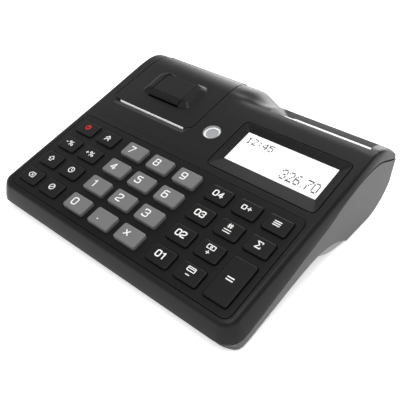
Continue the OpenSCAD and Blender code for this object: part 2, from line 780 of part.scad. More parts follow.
module printer_cover() {
    color("#3e3e40") deck() difference() {
        union() {
            under = cover_under();
            across(cover_x, cover_x + cover_w,
                   concat([[cover_y, -cover_t], [cover_y, 0]], cover_line(0),
                          [for (i = [len(under) - 1 : -1 : 0]) under[i]]));
            // Wings of the raised pad
            hull() {
                translate([cover_cx, latch_y + latch_l / 2, -eps])
                cube([2 * pad_half, latch_l + 2.2, eps], center = true);
                translate([cover_cx, latch_y + latch_l / 2 + 1.2, pad_rise - eps])
                cube([2 * pad_half - 7, latch_l - 7.4, eps * 2], center = true);
            }
            // Bosses of the latch pivot under the pad
            for (x = [cover_cx - latch_w / 2 - latch_gap - 3, cover_cx + latch_w / 2 + latch_gap])
                block([x, latch_axis[0] - 2.5, -cover_t], [x + 3, latch_axis[0] + 2.5, 0.8]);
            // Arms that carry the platen
            for (x = [arm_l, arm_r]) translate([x, platen_y, 0]) {
                block([0, -3, -platen_drop], [arm_t, 3, -cover_t + eps]);
                translate([0, 0, -platen_drop]) rod(0, arm_t, 3);
            }
            // Hinge barrel, inside the ears of the tray
            translate([0, hinge_y, -hinge_drop]) rod(cover_x + 3.1, cover_x + cover_w - 3.1, barrel_r);
        }
        latch_window(latch_gap);
        translate([0, hinge_y, -hinge_drop]) rod(-half_w, half_w, pin_r + running);
        translate([0, platen_y, -platen_drop]) rod(-half_w, half_w, shaft_r + running);
        translate([0, latch_axis[0], latch_axis[1]])
        rod(cover_cx - latch_w / 2 - 2.2, cover_cx + latch_w / 2 + 2.2, latch_pin_r + running);
        // Room for the tray's hinge ears
        for (x = [cover_x - 1, cover_x + cover_w - 3])
            translate([x, hinge_y, -hinge_drop]) rotate([0, 90, 0]) cylinder(r = barrel_r + 0.5, h = 4);
        block([paper_l - 1, cover_y - 1, -1.2], [paper_r + 1, cover_y + 1.4, -0.6]);
    }
}

module cover_latch() {
    y0 = latch_y;
    y1 = latch_y + latch_l;
    color("#38383a") deck() difference() {
        union() {
            across(cover_cx - latch_w / 2, cover_cx + latch_w / 2,
                   [[y0, 0.2], [y0 + 1, -0.6], [y0 + 5, 0.4], [y1 - 6, 0.4], [y1 - 5, -1],
                    [y1 - 1.4, -1], [y1, 0.4], [y1, 1.2], [y1 - 2.4, pad_rise], [y0 + 5.2, pad_rise]]);
            translate([0, latch_axis[0], latch_axis[1]])
            rod(cover_cx - latch_w / 2 - 2, cover_cx + latch_w / 2 + 2, latch_pin_r);
        }
    }
}

module tear_bar() {
    teeth = floor(paper_w / 1.5);
    color("#9a9da1") deck() translate([0, 0, -1.15]) linear_extrude(0.5)
    polygon(concat([[paper_r, cover_y + 1.35], [paper_l, cover_y + 1.35]],
                   [for (i = [0 : teeth]) for (e = [0, 1]) if (i < teeth || e == 0)
                    [paper_l + (i + e * 0.5) * paper_w / teeth, cover_y - 0.15 + e * 0.35]]));
}

module hinge_pin() {
    color("#b9bcc0") deck() translate([0, hinge_y, -hinge_drop])
    rod(cover_x + 0.3, cover_x + cover_w - 0.3, pin_r);
}

module platen_roller() {
    color("#1d1d1f") deck() translate([0, platen_y, -platen_drop]) difference() {
        rod(paper_l - 0.5, paper_r + 0.5, platen_r);
        rod(-half_w, half_w, shaft_r);
    }
}

module platen_shaft() {
    color("#b9bcc0") deck() translate([0, platen_y, -platen_drop])
    rod(gear_x - 0.4, arm_r + arm_t + 0.8, shaft_r);
}

// Spur gear from x0, with a tooth that points along angle a.
module gear(x0, teeth, t, bore, a) {
    r_tip = gear_module * (teeth / 2 + 0.85);
    r_root = gear_module * (teeth / 2 - 1.2);
    r_pitch = gear_module * teeth / 2;
    step = 360 / teeth;
    flank = [[r_root, 0.3], [r_pitch, 0.2], [r_tip, 0.1]];
    tooth = [for (q = flank) [q[0], -q[1]], for (i = [2 : -1 : 0]) flank[i]];
    points = [for (i = [0 : teeth - 1]) each [
        for (q = tooth) q[0] * [cos(a + (i + q[1]) * step), sin(a + (i + q[1]) * step)]]];
    difference() {
        across(x0, x0 + t, points);
        rod(x0 - 1, x0 + t + 1, bore);
    }
}

module platen_gear() {
    color("#d8d4c8") deck() translate([0, platen_y, -platen_drop])
    gear(gear_x, platen_teeth, gear_t, shaft_r, drive_dir);
}

module drive_gear() {
    color("#d8d4c8") deck() translate([0, drive_y, drive_z])
    gear(gear_x, drive_teeth, gear_t, 1 + running, drive_dir + 180 + 180 / drive_teeth);
}

module feed_motor() {
    color("#a9acb0") deck() translate([0, drive_y, drive_z]) {
        rod(arm_l + arm_t, arm_l + arm_t + motor_l, motor_r);
        rod(gear_x + 0.2, arm_l + arm_t + 1, 1);
    }
}

module printer_tray() {
    c_l = arm_l;
    c_r = arm_r;
    color("#2a2a2c") deck() difference() {
        union() {
            // Bucket for the roll, with its front and rear walls
            across(c_l, c_r + tray_t, concat(
                [[bucket[0] - bucket_r - tray_t, cheek_top - 4]],
                arc(bucket, bucket_r + tray_t, 180, 360, 24),
                [[bucket[0] + bucket_r + tray_t, shelf_z], [bucket[0] + bucket_r, shelf_z]],
                arc(bucket, bucket_r, 360, 180, 24), [[bucket[0] - bucket_r, cheek_top - 4]]));
            // Cheeks beside the roll and under the platen
            for (x = [c_l, c_r]) across(x, x + tray_t, concat(
                [[head_y - 1.5, floor_z], [head_y - 1.5, cheek_top]],
                [[bucket[0] - bucket_r + 4, cheek_top], [bucket[0] - bucket_r + 8, -5]],
                [[bucket[0] + bucket_r, shelf_z]],
                arc(bucket, bucket_r + tray_t, 360, 180, 24)));
            // Floor and front wall of the drive bay
            block([tray_l, tray_front, floor_z - tray_t],
                  [tray_r + tray_t, bucket[0] - bucket_r, floor_z]);
            block([tray_l, tray_front, floor_z], [tray_r + tray_t, tray_front + tray_t, -5.5]);
            // Outer plates, up to the underside of the deck
            for (x = [tray_l, tray_r]) {
                block([x, tray_front, floor_z - tray_t], [x + tray_t, bucket[0] - 7, -wall]);
                block([x, bucket[0] - 7, floor_z],
                      [x + tray_t, bucket[0] + bucket_r + tray_t, shelf_z]);
            }
            // Shelf to the hinge, with the two ears
            block([tray_l, bucket[0] + bucket_r, shelf_z - tray_t],
                  [tray_r + tray_t, hinge_y - 0.8, shelf_z]);
            for (x = [cover_x + 0.3, cover_x + cover_w - 2.9]) {
                block([x, hinge_y - barrel_r, shelf_z - eps], [x + 2.6, hinge_y - 0.8, -hinge_drop]);
                translate([0, hinge_y, -hinge_drop]) rod(x, x + 2.6, barrel_r);
            }
        }
        translate([0, hinge_y, -hinge_drop]) rod(-half_w, half_w, pin_r);
        translate([0, head_pivot[0], head_pivot[1]])
        rod(c_l - 1, c_r + tray_t + 1, head_pin_r + running);
        translate([0, drive_y, drive_z]) rod(c_l - 1, c_l + tray_t + 1, 1.2);
        // Path of the paper over the front wall of the bucket
        block([c_l + tray_t, bucket[0] - bucket_r - 3, -15.2], [c_r, bucket[0] - 8, 0]);
    }
}

module print_head() {
    color("#c3c6ca") deck() {
        across(arm_l + arm_t + guide_gap, arm_r - guide_gap,
               [[head_y, head_pivot[1] - 1], [head_back, head_pivot[1] - 1], [head_back, -13],
                [head_face, -12.2], [head_face, -7.4], [head_back, -6.4], [head_back, -4.5],
                [head_y, -4.5]]);
        translate([0, head_pivot[0], head_pivot[1]]) rod(arm_l + 0.2, arm_r + arm_t - 0.2, head_pin_r);
    }
}

module paper_roll() {
    color("#f4f3ee") deck() translate([0, roll[0], roll[1]]) difference() {
        rod(arm_l + tray_t + guide_gap, arm_r - guide_gap, roll_r);
        rod(-half_w, half_w, 6);
    }
}

// Free end of the paper: up through the slot, round the platen and back to the roll.
module paper_tongue() {
    wrap = paper_y + paper_t - platen_y;
    inner = -wrap;
    turn = [platen_y, -platen_drop];
    end = [bucket[0] - bucket_r - 1, turn[1] - inner - paper_t / 2];
    color("#ffffff") deck() across(paper_l, paper_r, concat(
        [[paper_y + paper_t, paper_rise], [paper_y, paper_rise]],
        arc(turn, inner + paper_t, 180, 270, 12), [end - [0, paper_t / 2], end + [0, paper_t / 2]],
        arc(turn, inner, 270, 180, 12)));
}

module seal_plug() {
    color("#c9cacc") deck() translate([seal_x, seal_y, 0]) {
        translate([0, 0, -wall]) cylinder(r = seal_r, h = wall + 0.3);
        translate([0, 0, 0.3 - eps]) cylinder(r = seal_r - 0.9, h = 0.25);
        translate([0, 0, -wall - 1]) cylinder(r = seal_r + 1.2, h = 1);
    }
}

top_case();
bottom_case();
keypad_panel();
key_mat();
main_board();
display_bezel();
display_glass();
display_module();
customer_glass();
customer_module();
printer_cover();
cover_latch();
hinge_pin();
platen_roller();
platen_shaft();
platen_gear();
drive_gear();
feed_motor();
printer_tray();
print_head();
paper_roll();
paper_tongue();
tear_bar();
seal_plug();
battery_pack();
battery_door();
rear_sockets();
rubber_feet();
case_screws();
key("key_power");  // key_power
key("key_discount");  // key_discount
key("key_shift");  // key_shift
key("key_clear");  // key_clear
key("key_feed");  // key_feed
key("key_surcharge");  // key_surcharge
key("key_clock");  // key_clock
key("key_void");  // key_void
key("key_0");  // key_0
key("key_point");  // key_point
key("key_quantity");  // key_quantity
key("key_1");  // key_1
key("key_2");  // key_2
key("key_3");  // key_3
key("key_4");  // key_4
key("key_5");  // key_5
key("key_6");  // key_6
key("key_7");  // key_7
key("key_8");  // key_8
key("key_9");  // key_9
key("key_dept_4");  // key_dept_4
key("key_dept_3");  // key_dept_3
key("key_dept_2");  // key_dept_2
key("key_dept_1");  // key_dept_1
key("key_menu");  // key_menu
key("key_lookup");  // key_lookup
key("key_pay_1");  // key_pay_1
key("key_pay_2");  // key_pay_2
key("key_price");  // key_price
key("key_subtotal");  // key_subtotal
key("key_total");  // key_total
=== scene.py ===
import math
import bpy
import bmesh
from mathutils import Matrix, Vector, geometry


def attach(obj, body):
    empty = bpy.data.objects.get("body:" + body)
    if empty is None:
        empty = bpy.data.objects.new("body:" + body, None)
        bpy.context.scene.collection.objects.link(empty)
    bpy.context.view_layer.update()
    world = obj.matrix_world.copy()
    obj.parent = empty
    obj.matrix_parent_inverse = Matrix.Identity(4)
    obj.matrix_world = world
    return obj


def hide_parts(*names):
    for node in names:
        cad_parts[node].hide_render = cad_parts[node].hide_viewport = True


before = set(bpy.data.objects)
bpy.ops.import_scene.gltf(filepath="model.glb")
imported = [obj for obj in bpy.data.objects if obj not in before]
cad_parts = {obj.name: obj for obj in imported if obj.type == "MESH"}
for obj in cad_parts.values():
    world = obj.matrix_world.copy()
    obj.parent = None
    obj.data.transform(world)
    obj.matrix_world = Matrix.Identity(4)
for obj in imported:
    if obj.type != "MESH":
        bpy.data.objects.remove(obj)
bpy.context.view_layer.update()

# ----------------------------------------------------------------------
# The view: a small product camera above the right front corner, on a table of
# plain white laminate under broad studio boxes. Nothing here is part of the till.
MM = 0.001
TILT = math.radians(14.5)
# The deck's own origin is at its front: DECK_H above the table, MID_Y before the frame's origin
MID_Y = 84.53
DECK_H = 16.75
TABLE_HALF = 6.0


def deck(x, y, z=0.0):
    """A point of the sloping deck's own frame, in mm, as metres of the shared frame."""
    return Vector((x, y * math.cos(TILT) - z * math.sin(TILT) - MID_Y,
                   DECK_H + y * math.sin(TILT) + z * math.cos(TILT))) * MM


def table(x, y, z):
    """A point measured along the table from the deck's own origin, in mm, as metres."""
    return Vector((x, y - MID_Y, z)) * MM


def show(name, data):
    """Puts new data into the scene as an object."""
    made = bpy.data.objects.new(name, data)
    bpy.context.scene.collection.objects.link(made)
    return made


def aimed(name, data, place, target):
    """A camera or lamp at a place in mm, turned to look at the target."""
    made = show(name, data)
    made.location = Vector(place) * MM
    made.rotation_euler = (Vector(target) - Vector(place)).to_track_quat("-Z", "Y").to_euler()
    return made


lens = bpy.data.cameras.new("product_lens")
lens.lens = 49.67
lens.sensor_width = 36
lens.clip_start = 0.01
bpy.context.scene.camera = aimed("product_camera", lens, (183.95, -210.4, 219.3), (28.05, -27.9, 31.4))
bpy.context.scene.view_settings.view_transform = "Standard"


def srgb(code):
    """Turns a hex colour as it is seen into the linear values that shaders take."""
    parts = [int(code[i:i + 2], 16) / 255 for i in (1, 3, 5)]
    return tuple(p / 12.92 if p < 0.04045 else ((p + 0.055) / 1.055) ** 2.4 for p in parts) + (1.0,)


def put(tree, kind, sockets=None, **settings):
    """Adds a node, sets its settings, and links or sets its inputs."""
    made = tree.nodes.new(kind)
    for name, value in settings.items():
        setattr(made, name, value)
    for name, value in (sockets or {}).items():
        if isinstance(value, bpy.types.NodeSocket):
            tree.links.new(value, made.inputs[name])
        else:
            made.inputs[name].default_value = value
    return made


def new_material(name):
    made = bpy.data.materials.new(name)
    made.use_nodes = True
    made.node_tree.nodes.clear()
    return made, made.node_tree


# White laminate table: flat white, slightly warm in shadow. It is bright enough to burn out
# round the till and keeps only the soft shadow under it.
white_table, tree = new_material("white_laminate_table")
ray = put(tree, "ShaderNodeLightPath").outputs
diffuse = put(tree, "ShaderNodeBsdfDiffuse", {"Color": srgb("#f4f4f4")}).outputs[0]
glow = put(tree, "ShaderNodeEmission", {"Color": srgb("#ffffff"), "Strength": 0.54}).outputs[0]
bright = put(tree, "ShaderNodeAddShader", {0: diffuse, 1: glow}).outputs[0]
looked_at = ray["Is Camera Ray"]
for kind in ("Is Glossy Ray", "Is Transmission Ray"):
    looked_at = put(tree, "ShaderNodeMath", {0: looked_at, 1: ray[kind]}, operation="MAXIMUM").outputs[0]
chosen = put(tree, "ShaderNodeMixShader", {0: looked_at, 1: diffuse, 2: bright})
put(tree, "ShaderNodeOutputMaterial", {"Surface": chosen.outputs[0]})

mesh = bpy.data.meshes.new("white_table")
corners = [(x * TABLE_HALF, y * TABLE_HALF, 0) for x, y in ((-1, -1), (1, -1), (1, 1), (-1, 1))]
mesh.from_pydata(corners, [], [(0, 1, 2, 3)])
mesh.materials.append(white_table)
show("white_table", mesh)

# Studio room: pale walls near the horizon, a darker ceiling that the deck mirrors.
room = bpy.data.worlds.new("studio_room")
bpy.context.scene.world = room
room.use_nodes = True
tree = room.node_tree
tree.nodes.clear()
split = put(tree, "ShaderNodeSeparateXYZ", {0: put(tree, "ShaderNodeTexCoord").outputs["Generated"]})
climb = put(tree, "ShaderNodeMapRange", {"Value": split.outputs["Z"], "From Min": 0.05, "From Max": 0.6,
                                         "To Min": 0.82, "To Max": 0.3})
shade = put(tree, "ShaderNodeBackground", {"Color": srgb("#ffffff"), "Strength": climb.outputs[0]})
put(tree, "ShaderNodeOutputWorld", {"Surface": shade.outputs[0]})

for name, power, size, place, target in (
        ("rear_box", 13, 900, (-200, 950, 360), (0, 40, 20)),
        ("left_box", 0.7, 500, (-900, 330, 450), (0, 20, 20)),
        ("front_box", 1.1, 500, (-250, -650, 800), (0, 0, 20)),
        ("top_box", 7.5, 700, (170, -200, 1100), (0, 0, 20)),
        ("right_box", 0.5, 500, (760, -520, 420), (0, 0, 20))):
    lamp = bpy.data.lights.new(name, "AREA")
    lamp.shape = "SQUARE"
    lamp.size = size * MM
    lamp.energy = power
    aimed(name, lamp, place, target)

# ----------------------------------------------------------------------
# Bottom case: injection moulded in light grey ABS, 2.2 mm walls, spark-eroded
# grain outside. It stands on a round belly, arches up under the keypad and is
# screwed to the top case from below.
CASE_W = 187.1
CASE_D = 163.7
CORNER_R = 11.7
LIP_DROP = 10.7
FRONT = LIP_DROP * math.sin(TILT)
REAR = FRONT + CASE_D
BASE_REAR = REAR - 0.8
WALL = 2.2
BELLY = (73.88, -50.2, 63.6)
HEEL_R = 28.6
FLAT_Z = 0.5
BASE_EDGE = 1.3
JOINT_GAP = 1.35
EDGE_FALL = 3.0
FLOW_MM = 38
LIP_LINE = ((-4, -10.9), (23.5, -10.5), (44, -9.4), (58.5, -8.8), (72.5, -8.1), (84, -7.6), (92, -6.7),
            (99.5, -5.3), (108.5, -4.75), (118.5, -4.6), (128.5, -5.9), (136.5, -7.9), (142.5, -10.6),
            (150.5, -16.3), (159.0, -22.4), (165.2, -25.8))
ARCH = ((12.5, 0.7), (17, 1.6), (21.4, 2.65), (27.6, 4.2), (33.8, 5.65), (40.1, 7.25), (46.7, 8.7),
        (53.1, 10.05), (60.3, 11.4), (67.1, 12.45), (71.5, 12.9))


def along(points, where):
    """Height of a smooth line through the points (Catmull-Rom) at a place along it."""
    last = len(points) - 1
    i = max(0, min(last - 1, sum(1 for p in points[1:] if p[0] < where)))
    (x0, y0), (x1, y1) = points[i], points[i + 1]
    before = points[i - 1] if i else (2 * x0 - x1, 2 * y0 - y1)
    after = points[i + 2] if i + 2 <= last else (2 * x1 - x0, 2 * y1 - y0)
    m0 = (y1 - before[1]) / (x1 - before[0]) * (x1 - x0)
    m1 = (after[1] - y0) / (after[0] - x0) * (x1 - x0)
    t = max(0.0, min(1.0, (where - x0) / (x1 - x0)))
    return ((2 * t ** 3 - 3 * t * t + 1) * y0 + (t ** 3 - 2 * t * t + t) * m0
            + (3 * t * t - 2 * t ** 3) * y1 + (t ** 3 - t * t) * m1)


def lip_height(table_y):
    """Height of the top case's lip above the table, at a place along the table, in mm."""
    y = table_y
    for _ in range(12):
        y = (table_y + along(LIP_LINE, y) * math.sin(TILT)) / math.cos(TILT)
    return DECK_H + y * math.sin(TILT) + along(LIP_LINE, y) * math.cos(TILT)


def plan_half(table_y, inset=0.0, rear_r=7.0):
    """Half width of the case's plan, inset from the lip, at a place along the table."""
    front, rear = CORNER_R - inset, rear_r - inset
    ahead, behind = FRONT + inset + front - table_y, table_y - (REAR - inset - rear)
    r, d = (front, ahead) if ahead > 0 else (rear, max(0.0, behind))
    return CASE_W / 2 - inset - r + math.sqrt(max(0.0, r * r - d * d))


def base_half(table_y):
    return plan_half(table_y, 0.15, rear_r=4.5)


def arc(cx, cy, r, first, last, n):
    """Points of an arc between two angles in degrees, with both its ends."""
    angles = [math.radians(first + (last - first) * i / n) for i in range(n + 1)]
    return [(cx + r * math.cos(a), cy + r * math.sin(a)) for a in angles]


def circle(cx, cy, r, n=48):
    return arc(cx, cy, r, 0, 360, n)[:-1]


def face_outward(skin, inside):
    """Turns each open island of faces away from the point inside. Closed ones already are."""
    waiting = set(skin.faces)
    while waiting:
        island, fresh = [], [waiting.pop()]
        while fresh:
            face = fresh.pop()
            island.append(face)
            near = {other for edge in face.edges for other in edge.link_faces} & waiting
            waiting -= near
            fresh += near
        is_open = any(len(e.link_faces) == 1 for f in island for e in f.edges)
        outward = sum(f.calc_area() * f.normal.dot(f.calc_center_median() - inside) for f in island)
        if is_open and outward < 0:
            bmesh.ops.reverse_faces(skin, faces=island)


def thicken(skin, thick, rim, steps):
    """Gives an open skin a back and rounded rims. Distances are in metres."""
    skin.normal_update()
    bmesh.ops.delete(skin, geom=[v for v in skin.verts if not v.link_faces], context="VERTS")
    normal = {v: sum((f.normal * f.calc_area() for f in v.link_faces), Vector()).normalized()
              for v in skin.verts}
    edges = [e for e in skin.edges if len(e.link_faces) == 1]
    sides = {}
    for e in edges:
        face, (a, b) = e.link_faces[0], e.verts
        side = (b.co - a.co).cross(face.normal)
        if side.dot(face.calc_center_median() - (a.co + b.co) / 2) > 0:
            side.negate()
        if side.length > 1e-12:
            for v in e.verts:
                sides.setdefault(v, []).append(side.normalized())
    push = {}
    for v, found in sides.items():
        total = sum(found, Vector())
        total = total.normalized() if total.length > 1e-9 else found[0]
        push[v] = total / max(0.6, total.dot(found[0]))
    fronts = list(skin.faces)
    back = {v: skin.verts.new(v.co - normal[v] * thick + push.get(v, Vector()) * rim)
            for v in list(skin.verts)}
    rings = {}
    for v, out in push.items():
        turn = [math.pi / 2 * i / steps for i in range(1, steps + 1)]
        rings[v] = [v] + [skin.verts.new(v.co + out * rim * math.sin(a) - normal[v] * rim * (1 - math.cos(a)))
                          for a in turn] + [back[v]]
    for e in edges:
        loop = next(c for c in e.link_faces[0].loops if c.edge == e)
        a, b = loop.vert, e.other_vert(loop.vert)
        if a in rings and b in rings:
            for corners in zip(rings[a], rings[a][1:], rings[b][1:], rings[b]):
                skin.faces.new(corners)
    for f in fronts:
        skin.faces.new([back[v] for v in reversed(f.verts)])
    skin.normal_update()


def solid_mesh(name, points, faces, inside, thick=None, rim=0.0, steps=3, sharp=35.0):
    """Makes a mesh object of points and faces that face away from the point inside. With a
    thickness, the open skin gets a back and rounded rims, as a moulding has."""
    skin = bmesh.new()
    verts = [skin.verts.new(p) for p in points]
    for face in faces:
        skin.faces.new([verts[i] for i in face])
    bmesh.ops.remove_doubles(skin, verts=skin.verts, dist=2e-6)
    bmesh.ops.dissolve_degenerate(skin, edges=skin.edges, dist=1e-6)
    bmesh.ops.recalc_face_normals(skin, faces=skin.faces)
    face_outward(skin, inside)
    if thick is not None:
        thicken(skin, thick * MM, rim * MM, steps)
    mesh = bpy.data.meshes.new(name)
    skin.to_mesh(mesh)
    skin.free()
    mesh.shade_smooth()
    mesh.set_sharp_from_angle(angle=math.radians(sharp))
    made = show(name, mesh)
    weigh = made.modifiers.new("flat_faces_stay_flat", "WEIGHTED_NORMAL")
    weigh.keep_sharp = True
    weigh.weight = 100
    return made


def strip_faces(rows, width):
    """Faces of a grid of points that is stored row after row."""
    return [(a + c, a + width + c, a + width + c + 1, a + c + 1)
            for a in range(0, (rows - 1) * width, width) for c in range(width - 1)]


def lofted(rings, closed=False):
    """Points and faces of a skin through equal rings, capped, or closed end to end."""
    count, total = len(rings[0]), len(rings)
    points = [p for ring in rings for p in ring]
    faces = []
    for r in range(total if closed else total - 1):
        a, b = r * count, ((r + 1) % total) * count
        faces += [(a + i, a + (i + 1) % count, b + (i + 1) % count, b + i) for i in range(count)]
    if not closed:
        faces += [tuple(reversed(range(count))), tuple(range((total - 1) * count, total * count))]
    return points, faces


def joined(*parts):
    """Points and faces of several meshes as one."""
    points, faces = [], []
    for more_points, more_faces in parts:
        faces += [tuple(len(points) + i for i in f) for f in more_faces]
        points += more_points
    return points, faces


def finish(tree, colour, tone, rough, relief=None, depth_mm=0.0, strength=0.5, **gloss):
    """Ends a material: colour times tone, roughness, relief as a bump, and other inputs. Where
    tone or roughness follow a pattern, they are the pattern, its own range and the range given."""
    given = []
    for value in (tone, rough):
        if isinstance(value, tuple):
            pattern, start, end, low, high = value
            value = put(tree, "ShaderNodeMapRange", {"Value": pattern, "From Min": start, "From Max": end,
                                                     "To Min": low, "To Max": high}).outputs[0]
        given.append(value)
    tint = put(tree, "ShaderNodeVectorMath", {0: srgb(colour)[:3], "Scale": given[0]}, operation="SCALE")
    inputs = {"Base Color": tint.outputs[0], "Roughness": given[1]}
    if relief:
        inputs["Normal"] = put(tree, "ShaderNodeBump", {"Height": relief, "Distance": depth_mm * MM,
                                                        "Strength": strength}).outputs["Normal"]
    inputs.update({name.replace("_", " "): value for name, value in gloss.items()})
    skin = put(tree, "ShaderNodeBsdfPrincipled", inputs)
    put(tree, "ShaderNodeOutputMaterial", {"Surface": skin.outputs[0]})


def grained(name, colour, rough, gloss, grain_mm=0.55, depth_mm=0.012, mottle=0.05):
    """Moulded plastic: a fine spark-eroded grain that breaks up the gloss, and a faint
    drift of tone from the flow of the melt."""
    made, tree = new_material(name)
    place = put(tree, "ShaderNodeTexCoord").outputs["Object"]
    grain = put(tree, "ShaderNodeTexNoise", {"Vector": place, "Scale": 1000 / grain_mm, "Detail": 3.0,
                                             "Roughness": 0.6}).outputs["Fac"]
    flow = put(tree, "ShaderNodeTexNoise", {"Vector": place, "Scale": 1000 / FLOW_MM}).outputs["Fac"]
    both = put(tree, "ShaderNodeMath", {0: grain, 1: flow}, operation="ADD").outputs[0]
    finish(tree, colour, (both, 0.6, 1.4, 1 - mottle, 1 + mottle),
           (grain, 0.3, 0.7, rough - 0.05, rough + 0.05), grain, depth_mm, 0.8,
           Specular_IOR_Level=gloss, IOR=1.52)
    return made


def fit(piece, material, body, node=None):
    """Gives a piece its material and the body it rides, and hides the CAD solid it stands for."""
    piece.data.materials.append(material)
    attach(piece, body)
    if node:
        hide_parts(node)


def belly_profile():
    """Side outline of the bottom, from the front lip to the rear lip, as (y, z)."""
    front_y, front_z = FRONT + 0.8, lip_height(3.6) - 0.9
    line = [(front_y, front_z), (front_y + 0.9, front_z - 1.1), (6.7, 2.0), (8.4, 0.75), (10.0, 0.35)]
    line += list(ARCH) + arc(*BELLY, 89, 52.9, 14)[1:] + [(120, FLAT_Z), (130, FLAT_Z)]
    return line + arc(BASE_REAR - HEEL_R, HEEL_R + FLAT_Z, HEEL_R, -90, 0, 18) + [(BASE_REAR, 31.3)]


def base_skin():
    """Rows of points from side to side, one for each step along the bottom's side outline."""
    line = belly_profile()
    points = []
    for j, (y, z) in enumerate(line):
        (y0, z0), (y1, z1) = line[max(0, j - 1)], line[min(len(line) - 1, j + 1)]
        run = Vector((y1 - y0, z1 - z0)).normalized()
        out_y, out_z = run.y, -run.x
        half, top = base_half(y), max(z, lip_height(y) - JOINT_GAP)
        r = BASE_EDGE + 1.4 * max(0.0, 1 - y / 40)
        if j < 6:
            r = min(r, max(0.02, (top - z) * 0.8))
        if j >= len(line) - 2:
            r = 0.6
        side = [(half, y, top), (half, y - out_y * r, min(top, z - out_z * r))]
        for i in range(1, 5):
            a = math.pi / 2 * (1 - i / 4)
            fall = r * (1 - math.cos(a))
            side.append((half - r + r * math.sin(a), y - out_y * fall, z - out_z * fall))
        side.append((half - r - 2, y, z))
        middle = [((half - r) * f, y, z) for f in (0.5, 0, -0.5)]
        points += [table(*p) for p in side + middle + [(-x, b, c) for x, b, c in reversed(side)]]
    return points, strip_faces(len(line), len(points) // len(line))


# Light grey ABS: satin, slightly cool, with the grain of the tool on it.
light_abs = grained("light_grey_abs_moulded", "#5e5e5f", 0.55, 0.25, grain_mm=0.8, depth_mm=0.02)
bottom = solid_mesh("bottom_case_shell", *base_skin(), Vector((0, 0, 0.03)), thick=WALL, rim=0.3)
# The wall's upper edge falls away inward, so the joint under the lip stays a dark line.
for v in bottom.data.vertices:
    x, y, z = abs(v.co.x) / MM, v.co.y / MM + MID_Y, v.co.z / MM
    if z > lip_height(y) - 1.3 and base_half(y) - x > 1.2 and 9 < y < REAR - 1.5:
        v.co.z -= EDGE_FALL * MM

# Openings in the bottom case: the battery bay, the mouths of the sockets and the six screw
# wells, each a tube moulded up from the wall to the seat of its screw.
SCREWS = ((-60, 7.8, -12.1), (60, 7.8, -12.1), (-60, 79.8, -12.1), (60, 79.8, -12.1), (-7, 130, -22),
          (84, 127.8, -22))
SCREW_WELL = 3.1
WELL_OUTER = 4.3
SHANK_HOLE = 1.6
DOOR = (16.3, 76.7, 112.1, 137.1)
DOOR_GAP = 0.3
SOCKET_H = 20.0
SOCKETS = ((-4, 10, 8), (20, 12, 8.5))
JACK = (42, 2.75)
SOCKET_CUT = 1.4
CUT_Y = REAR - 14
CUT_RUN = 20
WELL_RUN = 50
WELL_FLOOR = 1.4
ROUND = 28

across_x, up, to_rear = Vector((1, 0, 0)), Vector((0, 0, 1)), Vector((0, 1, 0))
deck_up = (deck(0, 0, 1) - deck(0, 0, 0)).normalized()
deck_back = (deck(0, 1, 0) - deck(0, 0, 0)).normalized()


def belly_at(y):
    """Height of the bottom of the case at a distance from the front, in mm."""
    if y < 30:
        return 0.4 + max(0.0, y - 11.5) * 0.19
    return max(FLAT_Z, BELLY[1] + math.sqrt(max(0.0, BELLY[2] ** 2 - (y - BELLY[0]) ** 2)))


def column(ring, rise):
    """A straight column on a ring of points."""
    return lofted([ring, [p + rise for p in ring]])


def disc(middle, u, v, r, n=ROUND):
    return [middle + (u * a + v * b) * MM for a, b in circle(0, 0, r, n)]


def modelled(piece):
    """A piece as its modifiers leave it, as a plain mesh."""
    bpy.context.view_layer.update()
    return bpy.data.meshes.new_from_object(piece.evaluated_get(bpy.context.evaluated_depsgraph_get()))


def bored(piece, cutters):
    """Cuts the columns out of a piece and gives the new edges their sharpness."""
    piece.modifiers.clear()
    tool = solid_mesh("boring_tool", *joined(*cutters), Vector())
    tool.modifiers.clear()
    cut = piece.modifiers.new("bore", "BOOLEAN")
    cut.object = tool
    cut.operation = "DIFFERENCE"
    cut.solver = "EXACT"
    piece.data = modelled(piece)
    piece.modifiers.clear()
    bpy.data.objects.remove(tool)
    piece.data.set_sharp_from_angle(angle=math.radians(33))
    weigh = piece.modifiers.new("flat_faces_stay_flat", "WEIGHTED_NORMAL")
    weigh.keep_sharp = True


bay_x, bay_y = (DOOR[0] - DOOR_GAP, DOOR[1] + DOOR_GAP), (DOOR[2] - DOOR_GAP, DOOR[3] + DOOR_GAP)
cutters = [column([table(bay_x[i], bay_y[k], -2) for i, k in ((0, 0), (1, 0), (1, 1), (0, 1))], up * 8 * MM)]
for x, w, h in SOCKETS:
    a, b = w / 2 + SOCKET_CUT, h / 2 + SOCKET_CUT
    mouth = [table(x + i * a, CUT_Y, SOCKET_H + k * b) for i, k in ((-1, -1), (-1, 1), (1, 1), (1, -1))]
    cutters.append(column(mouth, to_rear * CUT_RUN * MM))
cutters.append(column(disc(table(JACK[0], CUT_Y, SOCKET_H), up, across_x, JACK[1] + SOCKET_CUT),
                      to_rear * CUT_RUN * MM))
for x, y, seat in SCREWS:
    cutters.append(column(disc(deck(x, y, seat - WELL_RUN), across_x, deck_back, SCREW_WELL),
                          deck_up * WELL_RUN * MM))


def well(x, y, seat):
    """Tube of a screw well, from the wall up to the seat that the head bears on."""
    def at_wall(r, lift):
        ring = []
        for px, py in circle(x, y, r, ROUND):
            pz = -30.0
            for _ in range(8):
                spot = deck(px, py, pz) / MM
                pz += (belly_at(spot.y + MID_Y) + lift - spot.z) * 0.9
            ring.append(deck(px, py, pz))
        return ring

    def level(r, z):
        return [deck(px, py, z) for px, py in circle(x, y, r, ROUND)]

    top = seat + WELL_FLOOR
    return lofted([at_wall(WELL_OUTER, 1.2), level(WELL_OUTER, top), level(SHANK_HOLE, top),
                   level(SHANK_HOLE, seat), level(SCREW_WELL, seat), at_wall(SCREW_WELL, 1.0)], closed=True)


